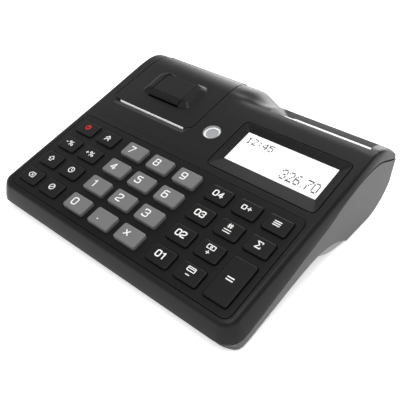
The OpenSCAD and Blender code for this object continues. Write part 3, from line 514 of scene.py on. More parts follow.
wells = solid_mesh("bottom_case_screw_wells", *joined(*[well(*s) for s in SCREWS]), table(0, 60, 20))
bored(bottom, cutters)
for piece in (bottom, wells):
    fit(piece, light_abs, "root", "bottom_case")

# ----------------------------------------------------------------------
# Top case: one charcoal ABS moulding. A flat sloping deck with rounded shoulders,
# openings for keypad, display, printer and seal, and a hump over the printer hinge.
RIDGE = 139.1
LIP_REAR = 165.2
LOW_SLOPE = ((RIDGE, 0), (RIDGE + 5.9, -0.6), (RIDGE + 20.4, -13.9), (LIP_REAR, -25.8))
HUMP_SLOPE = ((RIDGE, 0), (RIDGE + 12.5, 0.3), (RIDGE + 25.3, -5.0), (LIP_REAR, -25.8))
CREASE_FRONT, CREASE_RUN = 89.05, 3.0 / 139.1
SIDE_ANGLE = math.radians(66.5)
SIDE_TAN = math.tan(SIDE_ANGLE)
SIDE_DOWN = Vector((1, 0, -SIDE_TAN)).normalized()
FRONT_RUN = 5.1
RIM = 0.3
RIDGE_ROLL = 0.8
PANEL = (-85.75, 85.75, 8.2, 76.9)
BEZEL = (12.6, 85.65, 82.7, 123.45)
SEAL = (-0.75, 105.0)
PRINTER_X = (-84.35, -14.35)
PRINTER_REAR = 161.2
PAPER_X = (-75.95, -18.95)
SLOT_Y = 97.85
SLOT_SLOPE = (95.0, 97.9, -80, -17)
POCKET_X = (18.9, 26.3, 87.0)
POCKET_S = (1.1, 12.3)
POCKET_DEEP = 0.6
POCKET_DROP = math.radians(44.5)
POCKET_ROW = 10
SHOULDER_T = (0, 0.035, 0.07, 0.11, 0.16, 0.22, 0.28, 0.34, 0.40, 0.46, 0.535, 0.56, 0.60, 0.64, 0.68,
              0.72, 0.76, 0.80, 0.84, 0.88, 0.92, 0.95, 0.975, 1.0)
SHOULDER_X = sorted((PRINTER_X[0] - RIM, -80, -70, -58, -45, -32, -24, -18, PRINTER_X[1] + RIM, -10, -6, -3,
                     *range(-1, 16, 2), 17.5, *POCKET_X, 25, 36, 44, 54, 64, 74, 82))
DECK_ROWS = (11.9, 15, 20, *range(28, 89, 10), *range(96, 127, 6), 131, 133, 135, 136.8, 138.2)


def bezier(points, t):
    s = 1 - t
    return tuple(s ** 3 * a + 3 * s * s * t * b + 3 * s * t * t * c + t ** 3 * d
                 for a, b, c, d in zip(*points))


def bend(a, corner, b, t):
    """A point of the soft curve from a to b that leans towards the corner."""
    return a * (1 - t) ** 2 + corner * (2 * t * (1 - t)) + b * t * t


def eased(t):
    t = max(0.0, min(1.0, t))
    return t * t * (3 - 2 * t)


def shoulder(x, t):
    """Deck-frame (y, z) of the slope behind the ridge, which rises to a hump at the printer."""
    low, high = bezier(LOW_SLOPE, t), bezier(HUMP_SLOPE, t)
    w = 1 - eased((x + 2.0) / 17)
    y = low[0] + (high[0] - low[0]) * w
    valley = 0.7 * eased((x + 15) / 9) * (1 - eased((x - 9) / 9)) * math.exp(-((y - 144.2) / 2.9) ** 2)
    return y, low[1] + (high[1] - low[1]) * w - valley * eased((y - RIDGE) / 2.5)


def crease(y):
    return CREASE_FRONT + CREASE_RUN * y


def side_radius(y):
    return 3.6 - 2.0 * eased((y - 95) / 40)


def conic(a, corner, b, n):
    """Arc from a to b that touches both legs of the corner."""
    w = math.sqrt(max(0.0, (1 - (a - corner).normalized().dot((b - corner).normalized())) / 2))
    steps = [(i / n, 1 - i / n) for i in range(n + 1)]
    return [(a * s * s + corner * (2 * w * t * s) + b * t * t) / (s * s + 2 * w * t * s + t * t)
            for t, s in steps]


def wall_column(sharp, knee, lip, leg):
    """Points from the deck's edge over the rounded crease and down the side to the lip."""
    fall = knee - sharp
    b = sharp + fall.normalized() * min(leg, fall.length * 0.9)
    return conic(sharp - Vector((leg, 0, 0)), sharp, b, 6) + [bend(b, knee, lip, i / 5) for i in range(1, 6)]


def side_column(y):
    sharp = Vector((crease(y), y, 0))
    lip = Vector((CASE_W / 2, y, along(LIP_LINE, y)))
    knee = sharp + SIDE_DOWN * ((lip.x - sharp.x) / SIDE_DOWN.x)
    knee.z = max(knee.z, lip.z + 0.3)
    return wall_column(sharp, knee, lip, side_radius(y) * math.tan(SIDE_ANGLE / 2))


def shoulder_column(x, t):
    """The same behind the ridge, where the crease fades into the round rear corner."""
    y, z = shoulder(x, t)
    edge = plan_half(y * math.cos(TILT) - z * math.sin(TILT)) - 0.15
    sharp = Vector((min(crease(y) - z / SIDE_TAN, edge), y, z))
    lip_y = RIDGE + 0.3 * t * (LIP_REAR - RIDGE) + 0.7 * (y - RIDGE)
    lip_z = along(LIP_LINE, lip_y)
    lip = Vector((plan_half(lip_y * math.cos(TILT) - lip_z * math.sin(TILT)), lip_y, lip_z))
    drop = (sharp - lip).length
    leg = 0.9 * min(side_radius(RIDGE) + 2.4 * eased(t / 0.6), drop * 0.7)
    down = (lip - sharp).normalized()
    if t < 0.5:
        down = (down * t * 2 + SIDE_DOWN * (1 - 2 * t)).normalized()
    reach = (lip.x - sharp.x) / max(down.x, 0.05) if t < 0.2 else leg * 1.6
    knee = sharp + down * max(leg * 1.2, reach)
    knee.x = min(knee.x, lip.x)
    if (knee - sharp).length > drop * 0.9:
        knee = sharp.lerp(lip, 0.8)
    return wall_column(sharp, knee, lip, leg)


def front_column(x):
    sharp = Vector((x, FRONT_RUN, 0))
    down = Vector((0, -FRONT_RUN, -LIP_DROP)).normalized()
    leg = 3.6 * math.tan(math.atan2(LIP_DROP, FRONT_RUN) / 2)
    points = conic(sharp + Vector((0, leg, 0)), sharp, sharp + down * leg, 6)
    lip, start = Vector((x, 0, along(LIP_LINE, 0))), points[-1]
    bulges = [Vector((0, 0.28 * math.sin(math.pi * i / 5), 0)) for i in range(1, 6)]
    return points + [start.lerp(lip, i / 5) - bulge for i, bulge in enumerate(bulges, 1)]


def corner_columns(n):
    """Columns round the right front corner, from the front face to the side face."""
    front, side = front_column(CASE_W / 2 - CORNER_R), side_column(DECK_ROWS[0])
    columns = [front]
    for k in range(1, n):
        a, f = math.pi / 2 * k / n, eased(k / n) * 0.5 + 0.5 * k / n
        columns.append([Vector((p.x + (q.x - p.x) * math.sin(a), q.y - (q.y - p.y) * math.cos(a),
                                p.z + (q.z - p.z) * f)) for p, q in zip(front, side)])
        columns[-1][-1].z = along(LIP_LINE, columns[-1][-1].y)
    return columns + [side]


deck_columns = corner_columns(9) + [side_column(y) for y in DECK_ROWS[1:]]
right = deck_columns + [shoulder_column(90, t) for t in SHOULDER_T]
left = [[Vector((-p.x, p.y, p.z)) for p in line]
        for line in deck_columns + [shoulder_column(-90, t) for t in SHOULDER_T]]
front_half = right[0][0].x
front_columns = [front_column(front_half * (k / 4 - 1)) for k in range(9)]
# One row of points for each step down the slope behind the ridge
rear_grid = [[left[len(deck_columns) + row][0]] + [Vector((x, *shoulder(x, t))) for x in SHOULDER_X]
             + [right[len(deck_columns) + row][0]] for row, t in enumerate(SHOULDER_T)]


def rounded(x0, x1, y0, y1, r, n=6):
    """Loop of points round a rectangle with round corners, anticlockwise."""
    turns = ((x1 - r, y0 + r, -90), (x1 - r, y1 - r, 0), (x0 + r, y1 - r, 90), (x0 + r, y0 + r, 180))
    return [p for x, y, start in turns for p in arc(x, y, r, start, start + 90, n)]


def grown(box, by):
    return box[0] - by, box[1] + by, box[2] - by, box[3] + by


def inside_loop(loop, x, y):
    hit = False
    for (x0, y0), (x1, y1) in zip(loop, loop[1:] + loop[:1]):
        if (y0 > y) != (y1 > y) and x < (x1 - x0) * (y - y0) / (y1 - y0) + x0:
            hit = not hit
    return hit


def flat_faces(outer, holes=(), extra=()):
    """Triangles of a flat sheet with holes, with extra points inside it where it will bend."""
    points, edges = [], []
    for loop in (outer, *holes):
        start = len(points)
        points += [Vector(p) for p in loop]
        edges += [(start + i, start + (i + 1) % len(loop)) for i in range(len(loop))]
    points += [Vector(p) for p in extra]
    out, _, tris, _, _, _ = geometry.delaunay_2d_cdt(points, edges, [], 1, 1e-6)
    kept = []
    for tri in tris:
        x, y = sum((out[i] for i in tri), Vector((0, 0))) / 3
        if inside_loop(outer, x, y) and not any(inside_loop(hole, x, y) for hole in holes):
            kept.append(tuple(tri))
    return [(p.x, p.y) for p in out], kept


def rolled_lips(columns):
    """Turns the lower end of each column under in a quarter round, where the wall meets the seam."""
    out = []
    for k, line in enumerate(columns):
        lip = line[-1]
        along_lip = columns[min(k + 1, len(columns) - 1)][-1] - columns[max(k - 1, 0)][-1]
        up_wall = (line[-2] - lip).normalized()
        outward = along_lip.cross(up_wall).normalized()
        if outward.dot(lip - Vector((0, 80, lip.z))) < 0:
            outward.negate()
        r = min(0.5, (line[-2] - lip).length * 0.8)
        turn = [math.radians(a) for a in (0, 15, 30, 45, 60)]
        out.append(line[:-1] + [lip + up_wall * r * (1 - math.sin(a)) - outward * r * (1 - math.cos(a))
                                for a in turn])
    return out


def outer_wall():
    around = rolled_lips(left[::-1] + front_columns[1:-1] + right)
    return [p for line in around for p in line], strip_faces(len(around), len(around[0]))


def rear_slope():
    """The slope behind the ridge, open at the printer and at the customer window."""
    width = len(rear_grid[0])
    points = [p for line in rear_grid for p in line]

    def is_kept(face):
        near, far = points[face[0]], points[face[2]]
        over_printer = near.x > PRINTER_X[0] - 0.5 and far.x < PRINTER_X[1] + 0.5
        over_pocket = near.x > POCKET_X[0] - 0.1 and far.x < POCKET_X[2] + 0.1
        return not (over_printer and (near.y + far.y) / 2 < PRINTER_REAR
                    or over_pocket and face[0] // width < POCKET_ROW)

    return points, [face for face in strip_faces(len(rear_grid), width) if is_kept(face)]


def pocket_point(x, s, lift):
    """A point of the sloping pocket: s mm down the slope, and lifted square to it."""
    c, d = math.cos(POCKET_DROP), math.sin(POCKET_DROP)
    return Vector((x, RIDGE + s * c + lift * d, lift * c - s * d))


def window_pocket():
    """Pocket of the customer window: a ramp at its left, upright walls at its far side and right."""
    ridge = list(enumerate(rear_grid[0]))
    seen = [i for i, p in ridge if POCKET_X[1] - 0.1 < p.x < POCKET_X[2] + 0.1]
    ramp = [i for i, p in ridge if POCKET_X[0] - 0.1 < p.x < POCKET_X[1] + 0.1]
    x0, x1 = POCKET_X[1] + 0.2, POCKET_X[2] - 0.2
    rows = range(POCKET_ROW + 1)
    down = [POCKET_S[0] + (POCKET_S[1] - POCKET_S[0]) * r / POCKET_ROW for r in rows]
    near, far = ([rear_grid[r][i] for i in seen] for r in (0, POCKET_ROW))
    lens_x = [min(max(p.x, x0), x1) for p in near]
    ramp_low = [pocket_point(x0, s, -POCKET_DEEP) for s in down]
    bands = [(near, [pocket_point(x, POCKET_S[0], -POCKET_DEEP) for x in lens_x]),
             ([pocket_point(x, POCKET_S[1], -POCKET_DEEP) + Vector((0, 0, 0.25)) for x in lens_x],
              [p + Vector((0, -0.75, 0.32)) for p in far], far),
             ([rear_grid[r][seen[-1]] for r in rows], [pocket_point(x1, s, -POCKET_DEEP) for s in down]),
             ([rear_grid[r][ramp[0]] for r in rows], ramp_low)]
    parts = [(sum(band, []), strip_faces(len(band), len(band[0]))) for band in bands]
    for r in (0, POCKET_ROW):
        fan = [rear_grid[r][i] for i in ramp] + [ramp_low[r]]
        parts.append((fan, [(i, i + 1, len(fan) - 1) for i in range(len(fan) - 2)]))
    return joined(*parts)


def deck_sheet():
    """The deck itself, round its openings, with extra points where it bends."""
    x0, x1 = PRINTER_X[0] - RIM, PRINTER_X[1] + RIM
    edge = len(deck_columns) + 1
    outer = [(c[0].x, c[0].y) for c in front_columns + right[1:edge]]
    outer += [(x, RIDGE) for x in SHOULDER_X[::-1] if x > x1 + 0.01] + [(x1, RIDGE)]
    outer += arc(x1 - 2.6, 103.0, 2.6, 0, -90, 6)
    outer += [(PAPER_X[1] + 1.6, 100.4), (PAPER_X[1] + 0.9, 99.6), (PAPER_X[1] + 0.7, SLOT_Y),
              (PAPER_X[0] - 0.7, SLOT_Y), (PAPER_X[0] - 1.1, 98.8)]
    outer += arc(x0 + 4.6, 103.4, 4.6, -90, -180, 6) + [(x0, RIDGE)]
    outer += [(c[0].x, c[0].y) for c in left[edge - 1:0:-1]]
    holes = [rounded(*grown(PANEL, 0.3 + RIM), 4.3 + RIM), rounded(*grown(BEZEL, 0.45 + RIM), 3.35 + RIM),
             circle(*SEAL, 5.9 + RIM)]
    extra = [(x, y) for y in (132.4, 134.0, 135.4, 136.6, 137.6, 138.4) for x in range(-11, 88, 5)]
    slot_x = [-83, -82, -81, -80, -79, *range(-76, -20, 6), -19.5, -18.5, -17.5, -16.5]
    extra += [(x, y) for y in (94.9, 95.5, 96.3, 97.1) for x in slot_x]
    flat, tris = flat_faces(outer, holes, extra)
    return [Vector((x, y, 0)) for x, y in flat], tris


def softened(p):
    """How far the deck rolls down before its rear ridge, and dips into the paper slot."""
    if p.y < 100:
        over_slot = eased((p.x + 80.2) / 2.4) * (1 - eased((p.x + 19.2) / 2.6))
        return 0.85 * max(0.0, min(1.0, (p.y - 95.0) / 2.8)) ** 1.2 * over_slot if p.z > -0.01 else 0.0
    if p.y < 131 or p.z < -6:
        return 0.0
    if p.y <= RIDGE:
        roll = ((p.y - 131) / 8.1) ** 2.5
    else:
        roll = 1 - eased((p.y - RIDGE) / (5.5 if p.x < 40 else 18))
    return RIDGE_ROLL * roll * eased((p.x + 9) / 13) * (1 + p.z / 6)


# Charcoal ABS: matt and almost black, so the studio shows mainly in its rounded edges.
charcoal = grained("charcoal_abs_moulded", "#131314", 0.42, 0.2, grain_mm=0.95, depth_mm=0.034, mottle=0.12)
points, faces = joined(outer_wall(), rear_slope(), window_pocket(), deck_sheet())
top_shell = solid_mesh("top_case_shell", [deck(p.x, p.y, p.z - softened(p)) for p in points], faces,
                       Vector(), thick=WALL, rim=RIM, sharp=17)
fit(top_shell, charcoal, "root", "top_case")
# The slope before the paper slot: polished in the tool so the paper glides, and painted lighter than the case
# as a painted highlight of the rear light it faces.
polished_painted_highlight = grained("charcoal_abs_polished_painted_highlight", "#28282a", 0.33, 0.3, grain_mm=0.9, depth_mm=0.006)
top_shell.data.materials.append(polished_painted_highlight)
# Its upward faces take the lighter colour: the painted highlight.
for face in top_shell.data.polygons:
    back = (face.center - deck(0, 0, 0)).dot(deck_back) / MM
    over_slot = SLOT_SLOPE[0] < back < SLOT_SLOPE[1] and SLOT_SLOPE[2] < face.center.x / MM < SLOT_SLOPE[3]
    if over_slot and face.normal.dot(deck_up) > 0.5:
        face.material_index = 1

# Tongue of the top case: the low wall inside the lip that locates the bottom case. It closes
# the shadow line between the two mouldings.
TONGUE_INSET = 1.25
TONGUE_T = 0.8
TONGUE_TOP, TONGUE_FOOT = 0.5, -2.2
lip_run = [4.7, 5.4, 6.3, 7.4, 8.7, 10.2, 12, 14.2, *range(17, 140, 3), *(140 + 0.9 * i for i in range(40))]
lip_run = [y for y in lip_run if y < REAR - 1.35] + [REAR - 1.3]
right_edge = [(plan_half(y, TONGUE_INSET), y) for y in lip_run]
loop = right_edge + [(-x, y) for x, y in reversed(right_edge)]
rows = [table(x, y, lip_height(y) + z) for x, y in loop + loop[:1] for z in (TONGUE_TOP, TONGUE_FOOT)]
tongue = solid_mesh("top_case_tongue", rows, strip_faces(len(loop) + 1, 2), Vector(), TONGUE_T, 0.1)
fit(tongue, charcoal, "root", "top_case")

# Bare film label in front of the paper slot: a sheet of textured polycarbonate, stuck on.
# It is as dark as the case, with a finer grain that takes a little more light.
LABEL = (-84.0, 7.8, 82.0, 89.8)
LABEL_R = 3.4
film = [[deck(x, y, z) for x, y in rounded(*grown(LABEL, -i), LABEL_R - i)]
        for i, z in ((0, 0.0), (0.01, 0.07), (0.06, 0.1))]
label = solid_mesh("bare_film_label", *lofted(film), deck(-38, 86, -1))
fit(label, grained("black_polycarbonate_film", "#121213", 0.44, 0.2, grain_mm=0.9, depth_mm=0.008), "root")

# ----------------------------------------------------------------------
# Keypad panel: a separate charcoal ABS plate with 31 rounded windows, dropped into the
# deck and held from below. A hair-line seam shows all round it.
PANEL_DEEP = 2.0
PANEL_RIM = 0.22
PANEL_R = 4.0
KEY_GAP = 0.3
KEY_W, NUMBER_W, KEY_H = 15.0, 16.3, 11.0
KEY_FRONT = 18.2
ROW_PITCH = 16.05
# Each column: its place, whether its keys are grey, and its keys from the front. The total key
# is two rows high.
LAYOUT = ((-73.9, False, "clear shift discount power"), (-54.5, False, "void clock surcharge feed"),
          (-30.3, True, "0 1 4 7"), (-9.1, True, "point 2 5 8"), (12.1, True, "quantity 3 6 9"),
          (35.5, False, "dept_1 dept_2 dept_3 dept_4"), (54.9, False, "pay_2 pay_1 lookup menu"),
          (74.3, False, "total - subtotal price"))
KEYS = []
for x, grey, names in LAYOUT:
    for row, name in enumerate(names.split()):
        high = ROW_PITCH if name == "total" else 0
        if name != "-":
            KEYS.append((name, x, KEY_FRONT + row * ROW_PITCH + high / 2, NUMBER_W if grey else KEY_W,
                         KEY_H + high, grey))


def key_box(x, y, w, h):
    return x - w / 2, x + w / 2, y - h / 2, y + h / 2


windows = [rounded(*grown(key_box(*key[1:5]), KEY_GAP + PANEL_RIM), 1.9 + PANEL_RIM) for key in KEYS]
flat, tris = flat_faces(rounded(*grown(PANEL, -PANEL_RIM), PANEL_R - PANEL_RIM), windows)
panel = solid_mesh("keypad_panel_plate", [deck(x, y) for x, y in flat], tris, deck(0, 40, -50),
                   thick=PANEL_DEEP, rim=PANEL_RIM)
# The same ABS from a finer tool, so a shade darker and a touch smoother than the case.
panel_abs = grained("charcoal_abs_panel", "#101011", 0.42, 0.17, grain_mm=0.9, depth_mm=0.022, mottle=0.1)
fit(panel, panel_abs, "root", "keypad_panel")

# ----------------------------------------------------------------------
# Key caps: moulded ABS, one per switch, with drafted walls, a rolled top edge, a flange that
# keeps them under the panel and a stem on the rubber mat. Black and mid grey.
DARK_RISE, GREY_RISE = 1.1, 2.1
FLANGE_TOP, FLANGE_LOW = -2.3, -3.5
FLANGE_OUT = 1.1
FLANGE_EASE = 0.15
STEM_FOOT, STEM_R = -4.7, 2.0
CAP_CORNER = 1.6
CAP_FILLET = 0.75
CAP_DRAFT = 0.12


def turned(profile, x, y, n=48, closed=False):
    """A shape turned about an axis square to the deck, from (radius, height) pairs."""
    return lofted([[deck(px, py, z) for px, py in circle(x, y, r, n)] for r, z in profile], closed)


def key_cap(x, y, w, h, rise):
    steps = [(FLANGE_OUT - FLANGE_EASE, FLANGE_LOW), (FLANGE_OUT, FLANGE_LOW + FLANGE_EASE),
             (FLANGE_OUT, FLANGE_TOP - FLANGE_EASE), (FLANGE_OUT - FLANGE_EASE, FLANGE_TOP),
             (0, FLANGE_TOP), (0, 0.0)]
    steps += [(r - CAP_DRAFT - CAP_FILLET, z) for r, z in arc(0, rise - CAP_FILLET, CAP_FILLET, 0, 90, 5)]
    cap = key_box(x, y, w, h)
    rings = [[deck(px, py, z) for px, py in rounded(*grown(cap, out), max(0.3, CAP_CORNER + out))]
             for out, z in steps]
    return joined(lofted(rings), turned(((STEM_R, STEM_FOOT), (STEM_R, FLANGE_LOW + 0.2)), x, y, 24))


# Black caps: spark-eroded, satin. Grey caps: the same, tinted in the mass.
black_caps = grained("black_abs_key", "#0f0f10", 0.42, 0.2, grain_mm=0.5, depth_mm=0.008)
grey_caps = grained("grey_abs_key", "#6f6f70", 0.5, 0.25, grain_mm=0.5, depth_mm=0.008, mottle=0.03)
for name, x, y, w, h, grey in KEYS:
    name = "key_" + name
    cap = solid_mesh(name + "_cap", *key_cap(x, y, w, h, GREY_RISE if grey else DARK_RISE), deck(x, y, -1))
    fit(cap, grey_caps if grey else black_caps, name, name)

# ----------------------------------------------------------------------
# Key legends: pad-printed ink, a hair proud of each cap. Digits and signs are drawn as
# strokes of one width with round ends, like the rule pen lettering they come from.
STROKE = 0.72
INK = 0.03


def filleted(corners, n, reach=0.45, closed=True):
    """Turns each corner, given as (x, y, radius), over a soft curve of n steps."""
    out = []
    for i, (x, y, r) in enumerate(corners):
        c = Vector((x, y))
        if not closed and i in (0, len(corners) - 1):
            out.append(c)
            continue
        a = Vector(corners[i - 1][:2]) - c
        b = Vector(corners[(i + 1) % len(corners)][:2]) - c
        r = min(r, a.length * reach, b.length * reach)
        out += [bend(c + a.normalized() * r, c, c + b.normalized() * r, k / n) for k in range(n + 1)]
    return out


def ink_shape(path, width, closed):
    """Flat points and faces of one stroke along a path, with round ends if it is open."""
    count = len(path)
    lefts, rights = [], []
    for i, p in enumerate(path):
        steps = [path[i] - path[i - 1]] if closed or i else []
        steps += [path[(i + 1) % count] - p] if closed or i < count - 1 else []
        steps = [step.normalized() for step in steps]
        d = (steps[0] + steps[-1]).normalized()
        side = Vector((-d.y, d.x)) * width / 2 / max(0.5, d.dot(steps[-1]))
        lefts.append(p + side)
        rights.append(p - side)
    points = lefts + rights
    faces = [(i, count + i, count + (i + 1) % count, (i + 1) % count)
             for i in range(count if closed else count - 1)]
    for end, sign in () if closed else ((0, 1), (count - 1, -1)):
        start = lefts[end] - path[end]
        first = math.degrees(math.atan2(start.y, start.x))
        fan = [end, *range(len(points), len(points) + 5), count + end]
        points += [Vector(p) for p in arc(*path[end], width / 2, first, first + sign * 180, 6)[1:-1]]
        faces.append(tuple(fan[::sign]))
    return points, faces


def line(*corners, r=0.05, closed=False):
    return [(filleted([(x, y, r) for x, y in corners], 5, 0.49, closed), closed)]


def ring(x, y, r, first=0, last=360, n=28):
    full = last - first >= 360
    return [([Vector(p) for p in arc(x, y, r, first, last, n)][:n if full else n + 1], full)]


def box(x, y0, y1, r):
    return line((-x, y0), (x, y0), (x, y1), (-x, y1), r=r, closed=True)


def level(x0, x1, y):
    return line((x0, y), (x1, y))


def percent(x):
    bar = line((x - 1.0, -1.6), (x + 1.1, 1.6))
    return bar + ring(x - 1.15, 1.0, 0.62, n=16) + ring(x + 1.25, -1.0, 0.62, n=16)


def plus(x, y, s):
    return level(x - s, x + s, y) + line((x, y - s), (x, y + s))


W, H = 3.3, 4.6
DIGITS = {
    "0": [(((0, 0), (W, 0), (W, H), (0, H)), 1.2, True)],
    "1": [(((0.5, H - 0.8), (1.9, H), (1.9, 0)), 0.1, False)],
    "2": [(((0, H - 0.8), (0, H), (W, H), (W, 2.5), (0, 1.3), (0, 0), (W, 0)), 1.0, False)],
    "3": [(((0, H - 0.8), (0, H), (W, H), (W, 2.4), (1.1, 2.4)), 0.9, False),
          (((1.1, 2.4), (W, 2.4), (W, 0), (0, 0), (0, 0.8)), 0.9, False)],
    "4": [(((2.5, 0), (2.5, H), (0, 1.2), (W + 0.2, 1.2)), 0.1, False)],
    "5": [(((W - 0.1, H), (0.2, H), (0.2, 2.7), (W, 2.7), (W, 0), (0, 0), (0, 0.7)), 0.8, False)],
    "6": [(((W - 0.3, H), (0, H), (0, 0), (W, 0), (W, 2.7), (0.1, 2.7)), 1.0, False)],
    "7": [(((0, H), (W, H), (0.9, 0)), 0.3, False)],
    "8": [(((0, 0), (W, 0), (W, 2.45), (0, 2.45)), 0.9, True),
          (((0.15, 2.45), (W - 0.15, 2.45), (W - 0.15, H), (0.15, H)), 0.9, True)],
    "9": [(((0.3, 0), (W, 0), (W, H), (0, H), (0, 1.9), (W - 0.1, 1.9)), 1.0, False)],
}


def number(text, scale=1.0):
    """Strokes of a number, centred."""
    out = []
    pitch = (W + 1.25) * scale
    start = -pitch * (len(text) - 1) / 2 - W * scale / 2
    for i, mark in enumerate(text):
        for corners, r, closed in DIGITS[mark]:
            out += line(*((start + i * pitch + x * scale, (y - H / 2) * scale) for x, y in corners),
                        r=r * scale, closed=closed)
    return out


# Signs round the middle of a key, each with the width of its strokes
SIGNS = {
    "point": (0.9, level(-1.9, -1.8, -2.2)),
    "quantity": (STROKE, line((-2.9, -1.5), (-0.1, 1.3)) + line((-2.9, 1.3), (-0.1, -1.5))),
    "power": (0.6, ring(0, 0.3, 1.65, 118, 422, 24) + line((0, 0.5), (0, 2.2))),
    "feed": (0.65, line((-1.7, -0.2), (0, 1.6), (1.7, -0.2)) + line((-1.7, -2.0), (0, -0.2), (1.7, -2.0))),
    "discount": (0.5, level(-3.3, -2.2, 0) + percent(1.0)),
    "surcharge": (0.5, plus(-2.6, 0, 0.75) + percent(1.2)),
    "shift": (0.5, line((-0.9, -1.8), (0.9, -1.8), (0.9, -0.1), (2.0, -0.1), (0, 2.0), (-2.0, -0.1),
                            (-0.9, -0.1), closed=True)),
    "clock": (0.5, ring(0, 0, 1.95) + line((0, 1.2), (0, 0), (0.95, -0.5))),
    "clear": (0.45, line((-2.6, 0), (-1.1, 1.6), (2.2, 1.6), (2.2, -1.6), (-1.1, -1.6), closed=True)
                  + line((-0.4, -0.7), (1.0, 0.7)) + line((-0.4, 0.7), (1.0, -0.7))),
    "void": (0.55, ring(0, 0, 1.9) + line((-1.3, -1.3), (1.3, 1.3))),
    "price": (0.6, level(-2.0, 2.0, 1.3) + level(-2.0, 2.0, 0) + level(-2.0, 2.0, -1.3)),
    "menu": (0.55, line((-2.9, -1.3), (-0.5, -1.3), (-0.5, 1.3), (-2.9, 1.3), r=0.4, closed=True)
                 + plus(1.7, 0, 1.1)),
    "lookup": (0.5, line((-0.75, 0.4), (-0.75, 3.0)) + line((0.65, 0.4), (0.65, 3.0)) + level(-1.4, 1.3, 1.1)
                   + level(-1.4, 1.3, 2.3) + level(-2.2, 2.2, -1.1) + level(-2.2, 2.2, -2.6)),
    "pay_1": (0.48, box(2.4, 0.5, 2.9, 0.3) + ring(0, 1.7, 0.5, n=14) + plus(0, -1.8, 0.95)),
    "pay_2": (0.48, box(2.4, 0.5, 2.9, 0.4) + level(-2.2, 2.2, 2.0) + level(-1.1, 1.1, -1.8)),
    "subtotal": (0.6, line((1.5, 1.3), (1.5, 2.0), (-1.6, 2.0), (0.3, 0), (-1.6, -2.0), (1.5, -2.0),
                           (1.5, -1.3))),
    "total": (0.65, level(-1.9, 1.9, 0.8) + level(-1.9, 1.9, -0.8)),
}
SIGN_SHIFT, DEPT_SHIFT, NUMBER_SHIFT = (-0.6, 0.5), (-0.6, 0.4), (-2.4, 0.1)


def printed(name, colour):
    """Pad-printed ink: flat, even, with the faint pinholes of a screened film."""
    made, tree = new_material(name)
    place = put(tree, "ShaderNodeTexCoord").outputs["Object"]
    film = put(tree, "ShaderNodeTexNoise", {"Vector": place, "Scale": 1000 / 0.4}).outputs["Fac"]
    finish(tree, colour, (film, 0.3, 0.7, 0.94, 1.0), 0.5, film, 0.004, Specular_IOR_Level=0.4)
    return made


white_ink, red_ink = printed("white_pad_print_ink", "#f4f4f2"), printed("red_pad_print_ink", "#e21414")
for name, x, y, w, h, grey in KEYS:
    shift = SIGN_SHIFT
    if name.startswith("dept_"):
        shift, (width, strokes) = DEPT_SHIFT, (STROKE, number("0" + name[-1], 0.78))
    elif name.isdigit():
        shift, (width, strokes) = NUMBER_SHIFT, (STROKE, number(name))
    else:
        width, strokes = SIGNS[name]
    z = (GREY_RISE if grey else DARK_RISE) + INK
    shapes = [ink_shape(path, width, closed) for path, closed in strokes]
    parts = [([deck(x + shift[0] + p.x, y + shift[1] + p.y, z) for p in flat], quads)
             for flat, quads in shapes]
    ink = solid_mesh(f"key_{name}_legend", *joined(*parts), deck(x, y, -20), INK * 2, INK / 2, steps=1)
    fit(ink, red_ink if name == "power" else white_ink, "key_" + name)

# ----------------------------------------------------------------------
# Display bezel: a moulded frame whose faces slope like a picture frame down to the glass.
# It is pressed into the deck flush, and its seam shows all round.
GLASS_OPENING = (18.15, 80.05, 92.6, 117.8)
BEZEL_R = 2.9
BEZEL_DROP = 1.9


def frame_ring(box, r, z, inset=0.0):
    return [deck(x, y, z) for x, y in rounded(*grown(box, -inset), max(0.05, r - inset))]


rings = [frame_ring(BEZEL, BEZEL_R, -PANEL_DEEP)]
rings += [frame_ring(BEZEL, BEZEL_R, z, 0.2 - out) for out, z in arc(0, -0.25, 0.2, 0, 90, 3)]
rings += [frame_ring(BEZEL, BEZEL_R, -0.08, 0.75), frame_ring(GLASS_OPENING, 0.35, -BEZEL_DROP + 0.12, -0.25),
          frame_ring(GLASS_OPENING, 0.3, -BEZEL_DROP), frame_ring(GLASS_OPENING, 0.3, -PANEL_DEEP)]
bezel = solid_mesh("display_bezel_frame", *lofted(rings, closed=True), deck(49, 103, -1), sharp=14)
# Charcoal ABS from a finer tool than the case: even, matt and nearly black round the glass.
bezel_abs = grained("charcoal_abs_bezel", "#111112", 0.46, 0.15, grain_mm=0.6, depth_mm=0.01)
fit(bezel, bezel_abs, "root", "display_bezel")

# ----------------------------------------------------------------------
# Operator's display: a white reflective dot-matrix LCD behind its polariser, laid under the
# bezel. The dots are a fine dark print in the glass: a clock above and an amount below.
def finish_node(node, material):
    """Gives a CAD node its material."""
    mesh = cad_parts[node].data
    mesh.materials.clear()
    mesh.materials.append(material)


# Frosted film over a white reflector: an even milky white that is faintly lit from behind.
polariser, tree = new_material("white_lcd_polariser")
place = put(tree, "ShaderNodeTexCoord").outputs["Object"]
haze = put(tree, "ShaderNodeTexNoise", {"Vector": place, "Scale": 1000 / 9}).outputs["Fac"]
finish(tree, "#f4f5f3", (haze, 0.3, 0.7, 0.97, 1.0), 0.35, Specular_IOR_Level=0.3,
       Emission_Color=srgb("#ffffff"), Emission_Strength=0.22)
finish_node("display_glass", polariser)

# Five by seven dots for each figure, from the bottom row up, one bit for each dot.
FIGURES = {
    "0": (14, 17, 17, 17, 17, 17, 14), "1": (14, 4, 4, 4, 4, 12, 4), "2": (31, 8, 4, 2, 1, 17, 14),
    "3": (14, 17, 1, 6, 1, 17, 14), "4": (2, 2, 31, 18, 10, 6, 2), "5": (14, 17, 1, 1, 30, 16, 31),
    "6": (14, 17, 17, 30, 16, 8, 6), "7": (8, 8, 8, 4, 2, 1, 31), ":": (0, 4, 4, 0, 4, 4, 0),
    ".": (8, 0, 0, 0, 0, 0, 0),
}
LCD_Z = -PANEL_DEEP + 0.02
DOT_DEEP = 0.03


